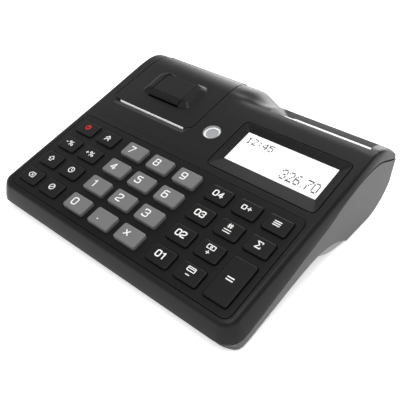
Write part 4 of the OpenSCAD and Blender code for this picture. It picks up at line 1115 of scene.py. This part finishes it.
def dots(text, x, y, pitch_x, pitch_y, figure_pitch):
    out = []
    for mark in text:
        out += [deck(x + column * pitch_x, y + row * pitch_y, LCD_Z) for row, bits in enumerate(FIGURES[mark])
                for column in range(5) if bits >> (4 - column) & 1]
        x += figure_pitch * (0.55 if mark == "." else 1)
    return out


def point_tree(name, inputs):
    """Geometry nodes that take points and named lengths: the tree and its inputs."""
    group = bpy.data.node_groups.new(name, "GeometryNodeTree")
    group.interface.new_socket("Points", in_out="INPUT", socket_type="NodeSocketGeometry")
    for label in inputs:
        group.interface.new_socket(label, in_out="INPUT", socket_type="NodeSocketFloat")
    group.interface.new_socket("Made", in_out="OUTPUT", socket_type="NodeSocketGeometry")
    return group, put(group, "NodeGroupInput").outputs


def on_points(group, given, shape, material):
    """Ends the tree: the shape on each point, turned into the plane of the deck and real."""
    laid = put(group, "GeometryNodeInstanceOnPoints", {"Points": given["Points"], "Instance": shape,
                                                       "Rotation": (TILT, 0.0, 0.0)})
    real = put(group, "GeometryNodeRealizeInstances", {"Geometry": laid.outputs[0]})
    skinned = put(group, "GeometryNodeSetMaterial", {"Geometry": real.outputs[0], "Material": material})
    put(group, "NodeGroupOutput", {"Made": skinned.outputs[0]})
    return group


def grown_from(name, points, group, values):
    """Runs a node tree on loose points and keeps the result as a plain mesh object."""
    seed = bpy.data.meshes.new(name + "_points")
    seed.from_pydata([tuple(p) for p in points], [], [])
    carrier = show(name + "_points", seed)
    maker = carrier.modifiers.new("maker", "NODES")
    maker.node_group = group
    sockets = {item.name: item.identifier for item in group.interface.items_tree if item.in_out == "INPUT"}
    for label, value in values.items():
        maker[sockets[label]] = value * MM
    solid = modelled(carrier)
    carrier.modifiers.remove(maker)
    bpy.data.objects.remove(carrier)
    solid.name = name
    return show(name, solid)


# Liquid crystal that is switched on: a dark blue-grey stain, matt behind the film.
dot_maker, given = point_tree("lcd_dot_maker", ("Dot Width", "Dot Height", "Dot Depth"))
size = put(dot_maker, "ShaderNodeCombineXYZ", {"X": given["Dot Width"], "Y": given["Dot Height"],
                                               "Z": given["Dot Depth"]})
tablet = put(dot_maker, "GeometryNodeMeshCube", {"Size": size.outputs[0]})
on_points(dot_maker, given, tablet.outputs["Mesh"], printed("liquid_crystal_dark", "#1c1e20"))
for name, places, width, height in (
        ("display_clock_dots", dots("12:45", 21.2, 110.1, 0.68, 0.76, 3.85), 0.64, 0.72),
        ("display_amount_dots", dots("326.70", 53.9, 96.3, 0.78, 1.1, 4.55), 0.72, 1.0)):
    made = grown_from(name, places, dot_maker,
                      {"Dot Width": width, "Dot Height": height, "Dot Depth": DOT_DEEP})
    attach(made, "root")

# ----------------------------------------------------------------------
# Customer's display: the same white film behind a lens that slopes away at the back of the
# deck, so that it is read from across the counter. It lies in a pocket of the top case.
LENS = (26.4, 86.9, 0.9, 16.4)
lens_rings = [[deck(*pocket_point(x, s, lift)) for x, s in rounded(*grown(LENS, -inset), 0.5, 4)]
              for inset, lift in ((0, -1.6), (0, -0.9), (0.08, -0.78), (0.25, -0.73))]
customer_lens = solid_mesh("customer_display_lens", *lofted(lens_rings), deck(*pocket_point(58, 8, -1)))
fit(customer_lens, polariser, "root", "customer_glass")

# ----------------------------------------------------------------------
# Seal plug: a pale grey polyethylene cap pressed into the deck over a calibration hole,
# with a raised white ring moulded round a flat middle.
PLUG = ((0.2, -3.2), (6.6, -3.2), (6.9, -3.0), (6.9, -2.4), (6.7, -2.2), (5.7, -2.2), (5.7, 0.05),
        (5.65, 0.14), (5.58, 0.18), (5.5, 0.18), (5.43, 0.14), (5.38, 0.0), (5.3, -1.25), (4.15, -1.3),
        (4.05, -1.22), (3.9, -1.16), (2.0, -1.1), (0.2, -1.08))
PLUG_RING = ((4.12, -1.4), (5.3, -1.4), (5.3, -1.12), (5.2, -1.0), (4.32, -1.0), (4.2, -1.1))
plug = solid_mesh("seal_plug_body", *turned(PLUG, *SEAL), deck(*SEAL, -1))
# Polyethylene: waxy and soft in its gloss, tinted pale grey, and left white in the ring.
grey_pe = grained("pale_grey_polyethylene", "#a0a1a5", 0.5, 0.3, 0.7, 0.006, 0.03)
fit(plug, grey_pe, "root", "seal_plug")
white_ring = solid_mesh("seal_plug_ring", *turned(PLUG_RING, *SEAL, closed=True), deck(*SEAL, 0.3))
white_pe = grained("white_polyethylene", "#fafafa", 0.4, 0.4, 0.7, 0.004, 0.02)
fit(white_ring, white_pe, "root")

# ----------------------------------------------------------------------
# Printer cover: a charcoal ABS lid, flat with the deck, that rolls down at the back into
# its hinge barrel. Two raised wings stand beside the pull tab, and two arms carry the platen.
COVER_X = (-83.95, -14.75)
COVER_FRONT = 99.4
COVER_T = 2.4
COVER_WALL = 1.9
TAB_X = -49.35
TAB_HALF = 12.9
TAB_GAP = 0.35
TAB_Y = (112.8, 134.0)
HINGE = (157.2, -8.3)
BARREL_R = 2.3
BARREL_SKIN = 2.53
PLATEN = (103.2, -9.8)
ARM_HALF = 3
ARM_X, ARM_T = (-78.6, -17.9), 1.6
LUG_Y, LUG_TOP, LUG_T = (129.1, 134.1), -0.6, 3
PIVOT_BACK, PIVOT_R = 2.4, 1.0
FALL_TO, FALL_STEPS = 0.52, 12
# Wing corners as distance beside the tab, place, and rounding: at its foot and at its top
WING_IN = TAB_HALF + TAB_GAP + 0.05
WING_FOOT = ((WING_IN, 112.2, 0.1), (WING_IN + 1.6, 112.9, 1.5), (21.1, 114.3, 2.2), (21.3, 134.0, 3.4),
             (18.2, 137.4, 3.0), (9.6, 137.0, 1.0), (10.0, 134.9, 0.5), (WING_IN, 134.7, 0.1))
WING_TOP = ((WING_IN, 117.4, 0.1), (WING_IN + 1.4, 117.4, 0.3), (17.0, 117.8, 0.9), (17.5, 131.4, 1.8),
            (16.0, 134.3, 1.2), (12.3, 135.0, 0.1), (12.6, 134.9, 0.1), (WING_IN, 134.7, 0.1))
WING_STEPS = ((0, -1.0), (0, -0.02), (0.08, 0.1), (0.3, 0.75), (0.6, 1.55), (0.78, 2.0), (0.9, 2.25),
              (1.02, 2.4), (1.15, 2.48), (1.3, 2.5))


def cover_skin():
    """The lid's flat with the tab's opening, and its fall to the hinge, as one open skin."""
    x0, x1, y0 = COVER_X[0] + RIM, COVER_X[1] - RIM, COVER_FRONT + RIM
    columns = [x1] + [-18.2 - 62.3 * k / 8 for k in range(9)] + [x0]
    outer = arc(x0 + 3.7, y0 + 3.7, 3.7, 180, 270, 6)
    outer += [(PAPER_X[1] + 0.4, y0), (PAPER_X[1] + 0.9, y0 + 1.2), (PAPER_X[1] + 1.6, y0 + 1.75)]
    outer += arc(x1 - 2.0, y0 + 3.9, 2.0, -90, 0, 4) + [(x, RIDGE) for x in columns]
    side = TAB_HALF + TAB_GAP
    hole = [(TAB_X + i * side, y) for i, y in ((-1, TAB_Y[0] - 1.1), (1, TAB_Y[0] - 1.1),
                                               (1, TAB_Y[1] + TAB_GAP), (-1, TAB_Y[1] + TAB_GAP))]
    flat, tris = flat_faces(outer, [hole])
    line = [bezier(HUMP_SLOPE, FALL_TO * i / FALL_STEPS) for i in range(FALL_STEPS + 1)]
    line += [(HINGE[0] + BARREL_SKIN * math.sin(a), HINGE[1] + BARREL_SKIN * math.cos(a))
             for a in map(math.radians, (41, 53, 65, 77, 88, 98))]
    fall = strip_faces(len(line), len(columns))
    width = len(columns)
    narrowed = [f for f in fall if f[0] // width < FALL_STEPS or f[0] % width not in (0, width - 2)]
    return joined(([deck(x, y) for x, y in flat], tris),
                  ([deck(x, *p) for p in line for x in columns], narrowed))


def across(x0, x1, profile, bevel=0.0):
    """A bar with this (y, z) profile from x0 to x1. With a bevel its two ends are eased."""
    profile = [Vector(p) for p in profile]
    middle = sum(profile, Vector((0, 0))) / len(profile)
    ends = [(0, 0), (bevel * 0.3, 0.6), (bevel, 1)] if bevel else [(0, 1)]
    rings = []
    for x, full in [(x0 + d, f) for d, f in ends] + [(x1 - d, f) for d, f in ends[::-1]]:
        shrunk = [(p - middle) * max(0.0, 1 - bevel * (1 - full) / max((p - middle).length, 0.01))
                  for p in profile]
        rings.append([deck(x, *(middle + d)) for d in shrunk])
    return lofted(rings)


def wing(side):
    """Raised wing beside the tab: a low pad with sloping sides and rolled edges."""
    rings = []
    for t, z in WING_STEPS:
        loop = [[p + (q - p) * t for p, q in zip(foot, top)] for foot, top in zip(WING_FOOT, WING_TOP)]
        rings.append([deck(*p, z) for p in filleted([(TAB_X + side * x, y, r) for x, y, r in loop], 5)])
    return lofted(rings)


lid = solid_mesh("printer_cover_lid", *cover_skin(), deck(-49, 125, -30), thick=COVER_WALL, rim=RIM, sharp=30)
parts = [across(COVER_X[0] + 3.1, COVER_X[1] - 3.1, circle(*HINGE, BARREL_R, 24), 0.4)]
arm = arc(*PLATEN, ARM_HALF, 180, 360, 10)
arm = [(arm[0][0], -COVER_T + 0.3), *arm, (arm[-1][0], -COVER_T + 0.3)]
parts += [across(x, x + ARM_T, arm, 0.2) for x in ARM_X]
lug = [(LUG_Y[0], -COVER_T), (LUG_Y[1], -COVER_T), (LUG_Y[1], LUG_TOP), (LUG_Y[0], LUG_TOP)]
parts += [across(x, x + LUG_T, lug) for x in (TAB_X - TAB_HALF - TAB_GAP - LUG_T, TAB_X + TAB_HALF + TAB_GAP)]
parts += [wing(-1), wing(1)]
details = solid_mesh("printer_cover_details", *joined(*parts), deck(-49, 125, -30), sharp=30)
# The same charcoal ABS and grain as the case, so that the lid disappears in the deck.
cover_abs = grained("charcoal_abs_cover", "#131314", 0.42, 0.2, grain_mm=0.95, depth_mm=0.034, mottle=0.12)
for piece in (lid, details):
    fit(piece, cover_abs, "cover", "printer_cover")

# ----------------------------------------------------------------------
# Pull tab of the cover: a spring latch with a sloping front, a finger hollow under its edge
# and a pivot rod at the back, moulded in the same ABS.
TAB_RISE = 2.5
TAB_FRONT = ((4.7, 2.5, 0.12), (4.25, 2.0, 0.1), (3.8, 2.28, 0.25), (1.5, 1.7, 1.3), (0.05, 1.15, 0.5),
             (0, 0.4, 0.2), (0.9, -0.2, 0.2), (0.9, -3.6, 0.1), (-0.6, -3.9, 0.1), (-0.6, -4.6, 0.1),
             (3, -4.5, 0.3), (5, 0.5, 1.0))
TAB_BACK = ((-6, 0.4, 0.3), (-5, -1.0, 0.3), (-1.4, -1.0, 0.4), (0, 0.4, 0.3), (0, 1.6, 0.3),
            (-0.15, TAB_RISE - 0.25, 0.15))
corners = [(edge + y, z, r) for edge, steps in zip(TAB_Y, (TAB_FRONT, TAB_BACK)) for y, z, r in steps]
blade = across(TAB_X - TAB_HALF, TAB_X + TAB_HALF, filleted(corners, 4), 0.35)
pivot = circle(TAB_Y[1] - PIVOT_BACK, 0.0, PIVOT_R, 16)
rod = across(TAB_X - TAB_HALF - 2, TAB_X + TAB_HALF + 2, pivot, 0.2)
tab = solid_mesh("cover_latch_tab", *joined(blade, rod), deck(TAB_X, 123, 1), sharp=30)
fit(tab, cover_abs, "latch", "cover_latch")

# ----------------------------------------------------------------------
# Paper: white thermal paper, 57 mm wide, on a roll that lies in the tray. Its end passes
# round the platen and stands out of the slot, curled forward after tearing.
PAPER_T = 0.12
PAPER_FRONT = 98.26
HEAD_Y = 107.8
STRIP_END = ((0, -7), (0, -3.5), (0, -1.0), (0.02, -0.5), (0.09, -0.1), (0.26, 0.25), (0.54, 0.5))
ROLL = (126.4, -26.4)
TURN_MM = 1.4

wrap = PLATEN[0] - PAPER_FRONT
path = [(HEAD_Y, PLATEN[1] - wrap)] + arc(*PLATEN, wrap, 270, 180, 15)
path = [Vector(p) for p in path + [(PAPER_FRONT + y, z) for y, z in STRIP_END]]
steps = [(path[min(i + 1, len(path) - 1)] - path[max(i - 1, 0)]).normalized() for i in range(len(path))]
half = [Vector((-d.y, d.x)) * PAPER_T / 2 for d in steps]
outline = [p + n for p, n in zip(path, half)] + [p - n for p, n in reversed(list(zip(path, half)))]
strip = solid_mesh("paper_strip", *lofted([[deck(x, *p) for p in outline] for x in PAPER_X]),
                   deck(-47, 100, -5), sharp=50)
# Thermal paper: bright white and matt, with a faint formation of fibres.
paper, tree = new_material("white_thermal_paper")
place = put(tree, "ShaderNodeTexCoord").outputs["Object"]
fibre = put(tree, "ShaderNodeTexNoise", {"Vector": place, "Scale": 1000 / 1.1, "Detail": 4.0,
                                         "Roughness": 0.7}).outputs["Fac"]
finish(tree, "#fbfbf9", (fibre, 0.3, 0.7, 0.96, 1.0), 0.6, fibre, 0.01, 0.4, Specular_IOR_Level=0.35)
fit(strip, paper, "root", "paper_tongue")

# The roll's ends show the edges of its turns as fine rings about its axis.
rolled, tree = new_material("wound_thermal_paper")
axis = deck(0, *ROLL)
centred = put(tree, "ShaderNodeMapping", {"Vector": put(tree, "ShaderNodeTexCoord").outputs["Object"],
                                          "Location": (0, -axis.y, -axis.z)})
turns = put(tree, "ShaderNodeTexWave", {
    "Vector": centred.outputs[0], "Scale": 1000 / TURN_MM / 2 / math.pi, "Distortion": 0.4,
    "Detail": 1.0}, wave_type="RINGS", rings_direction="X")
finish(tree, "#f8f8f5", (turns.outputs["Fac"], 0, 1, 0.86, 1.0), 0.6, Specular_IOR_Level=0.3)
finish_node("paper_roll", rolled)

# ----------------------------------------------------------------------
# Works of the printer and the electronics: CAD pieces in their own shapes. Steel pins, a
# rubber platen, acetal gears, a canned motor, a ceramic head and green boards.
def metal(name, colour, rough, grain_mm, stretch=(1, 1, 1)):
    """Ground or drawn metal: fine lines along the part that spread the gloss."""
    made, tree = new_material(name)
    place = put(tree, "ShaderNodeTexCoord").outputs["Object"]
    drawn = put(tree, "ShaderNodeMapping", {"Vector": place, "Scale": stretch}).outputs[0]
    lines = put(tree, "ShaderNodeTexNoise", {"Vector": drawn, "Scale": 1000 / grain_mm,
                                             "Detail": 3.0}).outputs["Fac"]
    finish(tree, colour, (lines, 0.3, 0.7, 0.92, 1.0), (lines, 0.3, 0.7, rough - 0.08, rough + 0.08),
           lines, 0.004, 0.6, Metallic=1.0)
    return made


# Ground steel: bright, with lines so fine that the pin only looks satin.
ground_steel = metal("ground_steel_pin", "#b9bcc0", 0.28, 0.3, (0.05, 1, 1))
# Acetal: milky white, slightly waxy.
acetal = grained("white_acetal_gear", "#e4e2da", 0.38, 0.45, 0.8, 0.006, 0.03)
# Glass-epoxy board under solder mask: green gloss with paler tracks.
board, tree = new_material("green_solder_mask")
place = put(tree, "ShaderNodeTexCoord").outputs["Object"]
haze = put(tree, "ShaderNodeTexNoise", {"Vector": place, "Scale": 1000 / 0.8}).outputs["Fac"]
sheen = put(tree, "ShaderNodeMapRange", {"Value": haze, "To Min": 0.2, "To Max": 0.4}).outputs[0]
tracks = put(tree, "ShaderNodeTexBrick", {
    "Vector": place, "Scale": 1000 / 6, "Mortar Size": 0.04,
    "Color1": srgb("#14532e"), "Color2": srgb("#195c35"), "Mortar": srgb("#2f7a4a"), "Brick Width": 0.9,
    "Row Height": 0.25})
raised = put(tree, "ShaderNodeBump", {
    "Height": tracks.outputs["Fac"], "Distance": 0.03 * MM, "Strength": 0.5})
skin = put(tree, "ShaderNodeBsdfPrincipled", {
    "Base Color": tracks.outputs["Color"], "Normal": raised.outputs[0], "Roughness": sheen})
put(tree, "ShaderNodeOutputMaterial", {"Surface": skin.outputs[0]})

for nodes, material in (
        (("hinge_pin", "platen_shaft"), ground_steel),
        # Stainless strip: grey, with rolling lines along its length
        (("tear_bar",), metal("stamped_stainless_steel", "#a8abaf", 0.33, 0.4, (0.08, 1, 1))),
        # Deep-drawn steel can: duller, with broad drawing lines
        (("feed_motor",), metal("drawn_steel_motor_can", "#9da0a4", 0.35, 0.5, (0.2, 1, 1))),
        # Rubber: nearly black, matt, with the fine tooth left by grinding it round
        (("platen_roller",), grained("ground_nitrile_rubber", "#1a1a1b", 0.75, 0.25, 0.35, 0.02, 0.08)),
        (("platen_gear", "drive_gear"), acetal),
        # Black ABS: satin, with an ordinary tool finish, as nobody sees it
        (("printer_tray",), grained("black_abs_tray", "#161617", 0.5, 0.3, 0.7, 0.012, 0.06)),
        # Glazed ceramic bar of the thermal head: smooth and pale
        (("print_head",), grained("glazed_alumina_head", "#c9c4b6", 0.22, 0.5, 0.5, 0.002, 0.05)),
        # Silicone: grey, soft in its gloss
        (("key_mat",), grained("grey_silicone_mat", "#8b8d90", 0.6, 0.35, 0.6, 0.008, 0.04)),
        # White backlight housing: bright and satin, to throw the light forward
        (("customer_module",), grained("white_backlight_moulding", "#e2e3e0", 0.5, 0.35, 0.6, 0.006, 0.03)),
        # Shrunk PVC sleeve: blue and glossy, with the ripples of the shrinking
        (("battery_pack",), grained("shrink_wrapped_cells_blue", "#2d5fae", 0.3, 0.5, 2.2, 0.03, 0.1)),
        (("main_board", "display_module"), board)):
    for node in nodes:
        finish_node(node, material)

# ----------------------------------------------------------------------
# Feet: four black rubber pads stuck under the case, and two pale skids of slippery
# polyethylene that follow the front of the belly.
PAD_HALF = (6, 4.5)
PAD_X, PAD_Y = (-70, 70), (16.5, 126.5)
SKID_X = (82.0, 92.0)
SKID_LINE = ((78.5, 12.4), (82.5, 9.4), (88.5, 6.3), (95.0, 3.9), (101.5, 2.2), (108.0, 1.0), (115.5, 0.25))


def pad(x, y):
    box = (x - PAD_HALF[0], x + PAD_HALF[0], y - PAD_HALF[1], y + PAD_HALF[1])
    return lofted([[table(px, py, max(z, belly_at(py) + 0.25) if z > 1 else z)
                    for px, py in rounded(*grown(box, -inset), 1.6, 4)]
                   for z, inset in ((0.0, 0.35), (0.12, 0.1), (0.3, 0.0), (1.6, 0.0))])


def skid(x0, x1):
    low = [(y, max(z, 0.12)) for y, z in SKID_LINE]
    top = [(SKID_LINE[-1][0], 0.9)] + [(y, belly_at(y) + 0.35) for y, _ in SKID_LINE[-2::-1]]
    return lofted([[table(x, y, z + inset) for y, z in low] + [table(x, y, z) for y, z in top]
                   for x, inset in ((x0, 0.25), (x0 + 0.3, 0.0), (x1 - 0.3, 0.0), (x1, 0.25))])


four = [pad(x, y) for y in PAD_Y for x in PAD_X]
pads = solid_mesh("rubber_pads", *joined(*four), table(0, 80, 10))
skids = solid_mesh("belly_skids", *joined(skid(-SKID_X[1], -SKID_X[0]), skid(*SKID_X)), table(0, 95, 6))
# Rubber: black, dead matt and open-grained. Polyethylene: pale, waxy and smooth.
for piece, material in (
        (pads, grained("black_rubber_pad", "#202021", 0.8, 0.2, 0.5, 0.02, 0.08)),
        (skids, grained("pale_polyethylene_skid", "#a2a3a4", 0.5, 0.35, 0.7, 0.006, 0.02))):
    fit(piece, material, "root", "rubber_feet")

# ----------------------------------------------------------------------
# Case screws: six pan-head steel self-tappers with a cross recess, zinc plated, driven up
# the wells of the bottom case into the top case.
SCREW = {"Head Radius": 2.75, "Head Height": 2.0, "Shank Radius": 1.25, "Shank Length": 7.0,
         "Recess Span": 3.4, "Recess Slot": 0.8}


def screw_tree(name, material):
    """Geometry nodes: a tapered head with a cross cut in it and a plain shank on each point."""
    group, given = point_tree(name, SCREW)
    head_r, head_h, shank_r, shank_h, span, slot = (given[label] for label in SCREW)
    small = put(group, "ShaderNodeMath", {0: head_r, 1: 0.8}, operation="MULTIPLY")
    head = put(group, "GeometryNodeMeshCone", {"Vertices": 32, "Side Segments": 2, "Radius Top": head_r,
                                               "Radius Bottom": small.outputs[0], "Depth": head_h})
    cross = put(group, "GeometryNodeMeshBoolean", operation="UNION")
    for x, y in ((span, slot), (slot, span)):
        size = put(group, "ShaderNodeCombineXYZ", {"X": x, "Y": y, "Z": head_h})
        bar = put(group, "GeometryNodeMeshCube", {"Size": size.outputs[0]})
        group.links.new(bar.outputs["Mesh"], cross.inputs["Mesh 2"])
    cut = put(group, "GeometryNodeMeshBoolean", {"Mesh 1": head.outputs[0], "Mesh 2": cross.outputs[0]},
              operation="DIFFERENCE")
    shank = put(group, "GeometryNodeMeshCylinder", {"Vertices": 20, "Radius": shank_r, "Depth": shank_h})
    lift = put(group, "ShaderNodeMath", {0: shank_h, 1: 0.5, 2: head_h}, operation="MULTIPLY_ADD")
    place = put(group, "ShaderNodeCombineXYZ", {"Z": lift.outputs[0]})
    raised = put(group, "GeometryNodeTransform", {"Geometry": shank.outputs[0],
                                                  "Translation": place.outputs[0]})
    whole = put(group, "GeometryNodeJoinGeometry", {"Geometry": cut.outputs[0]})
    group.links.new(raised.outputs[0], whole.inputs["Geometry"])
    return on_points(group, given, whole.outputs[0], material)


# Zinc plate: bright bluish steel, a little dulled.
zinc = metal("zinc_plated_steel", "#a9adb3", 0.35, 0.4)
heads = [deck(x, y, seat - SCREW["Head Height"]) for x, y, seat in SCREWS]
screws = grown_from("case_screw_set", heads, screw_tree("screw_maker", zinc), SCREW)
screws.data.set_sharp_from_angle(angle=math.radians(40))
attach(screws, "root")
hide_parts("case_screws")

# ----------------------------------------------------------------------
# Battery door: a light grey ABS plate let into the flat of the belly, with a row of ribs
# for the thumb. It clips in and slides to the rear to open.
DOOR_T = 1.6
RIBS, RIB_PITCH, RIB_BACK = 6, 1.6, 4.2
RIB_ENDS = ((31.5, 0.45), (31.9, 0.3), (32.6, 0.22), (46.4, 0.22), (47.1, 0.3), (47.5, 0.45))

flat, tris = flat_faces(rounded(*grown(DOOR, -0.25), 0.6, 3))
door = solid_mesh("battery_door_plate", [table(x, y, FLAT_Z) for x, y in flat], tris, table(46, 124, 30),
                  thick=DOOR_T, rim=0.25)
ribs = []
for i in range(RIBS):
    y = DOOR[3] - RIB_BACK - RIB_PITCH * i
    ribs.append(lofted([[table(x, y + step, z) for step, z in ((-0.45, 0.6), (-0.3, low + 0.08), (0, low),
                                                               (0.3, low + 0.08), (0.45, 0.6))]
                        for x, low in RIB_ENDS]))
thumb = solid_mesh("battery_door_ribs", *joined(*ribs), table(40, 130, 5))
for piece in (door, thumb):
    fit(piece, light_abs, "root", "battery_door")

# ----------------------------------------------------------------------
# Rear sockets: black nylon shells soldered to a small board, with sprung contacts of gold
# plated phosphor bronze inside, and a centre pin in the power jack.
# Glass-filled nylon: black and even, a little greasy in its gloss.
finish_node("rear_sockets", grained("black_nylon_socket", "#17171a", 0.5, 0.35, 0.5, 0.01, 0.05))
MOUTH = BASE_REAR - 11.0
CONTACT_HALF = 0.25
contacts = []
for x, w, h in SOCKETS:
    count, top = int(w - 2), SOCKET_H + h / 2
    for i in range(count):
        cx = x + (w - 3) * (i / (count - 1) - 0.5)
        contacts.append(lofted([[table(cx + a * CONTACT_HALF, MOUTH + y, top - k * t)
                                 for a, k in ((-1, 0), (1, 0), (1, 1), (-1, 1))]
                                for y, t in ((-0.4, 0.5), (5.0, 0.9), (6.2, 0.4))]))
contacts.append(lofted([disc(table(JACK[0], MOUTH + y, SOCKET_H), up, across_x, r, 20)
                        for y, r in ((-0.4, 0.95), (6.4, 0.95), (6.9, 0.75), (7.1, 0.35))]))
# Gold flash over bronze: warm yellow and bright, with the lines of the rolled strip.
springs = solid_mesh("socket_contacts", *joined(*contacts), table(20, 150, 20))
fit(springs, metal("gold_plated_bronze", "#d8b062", 0.3, 0.3), "root")
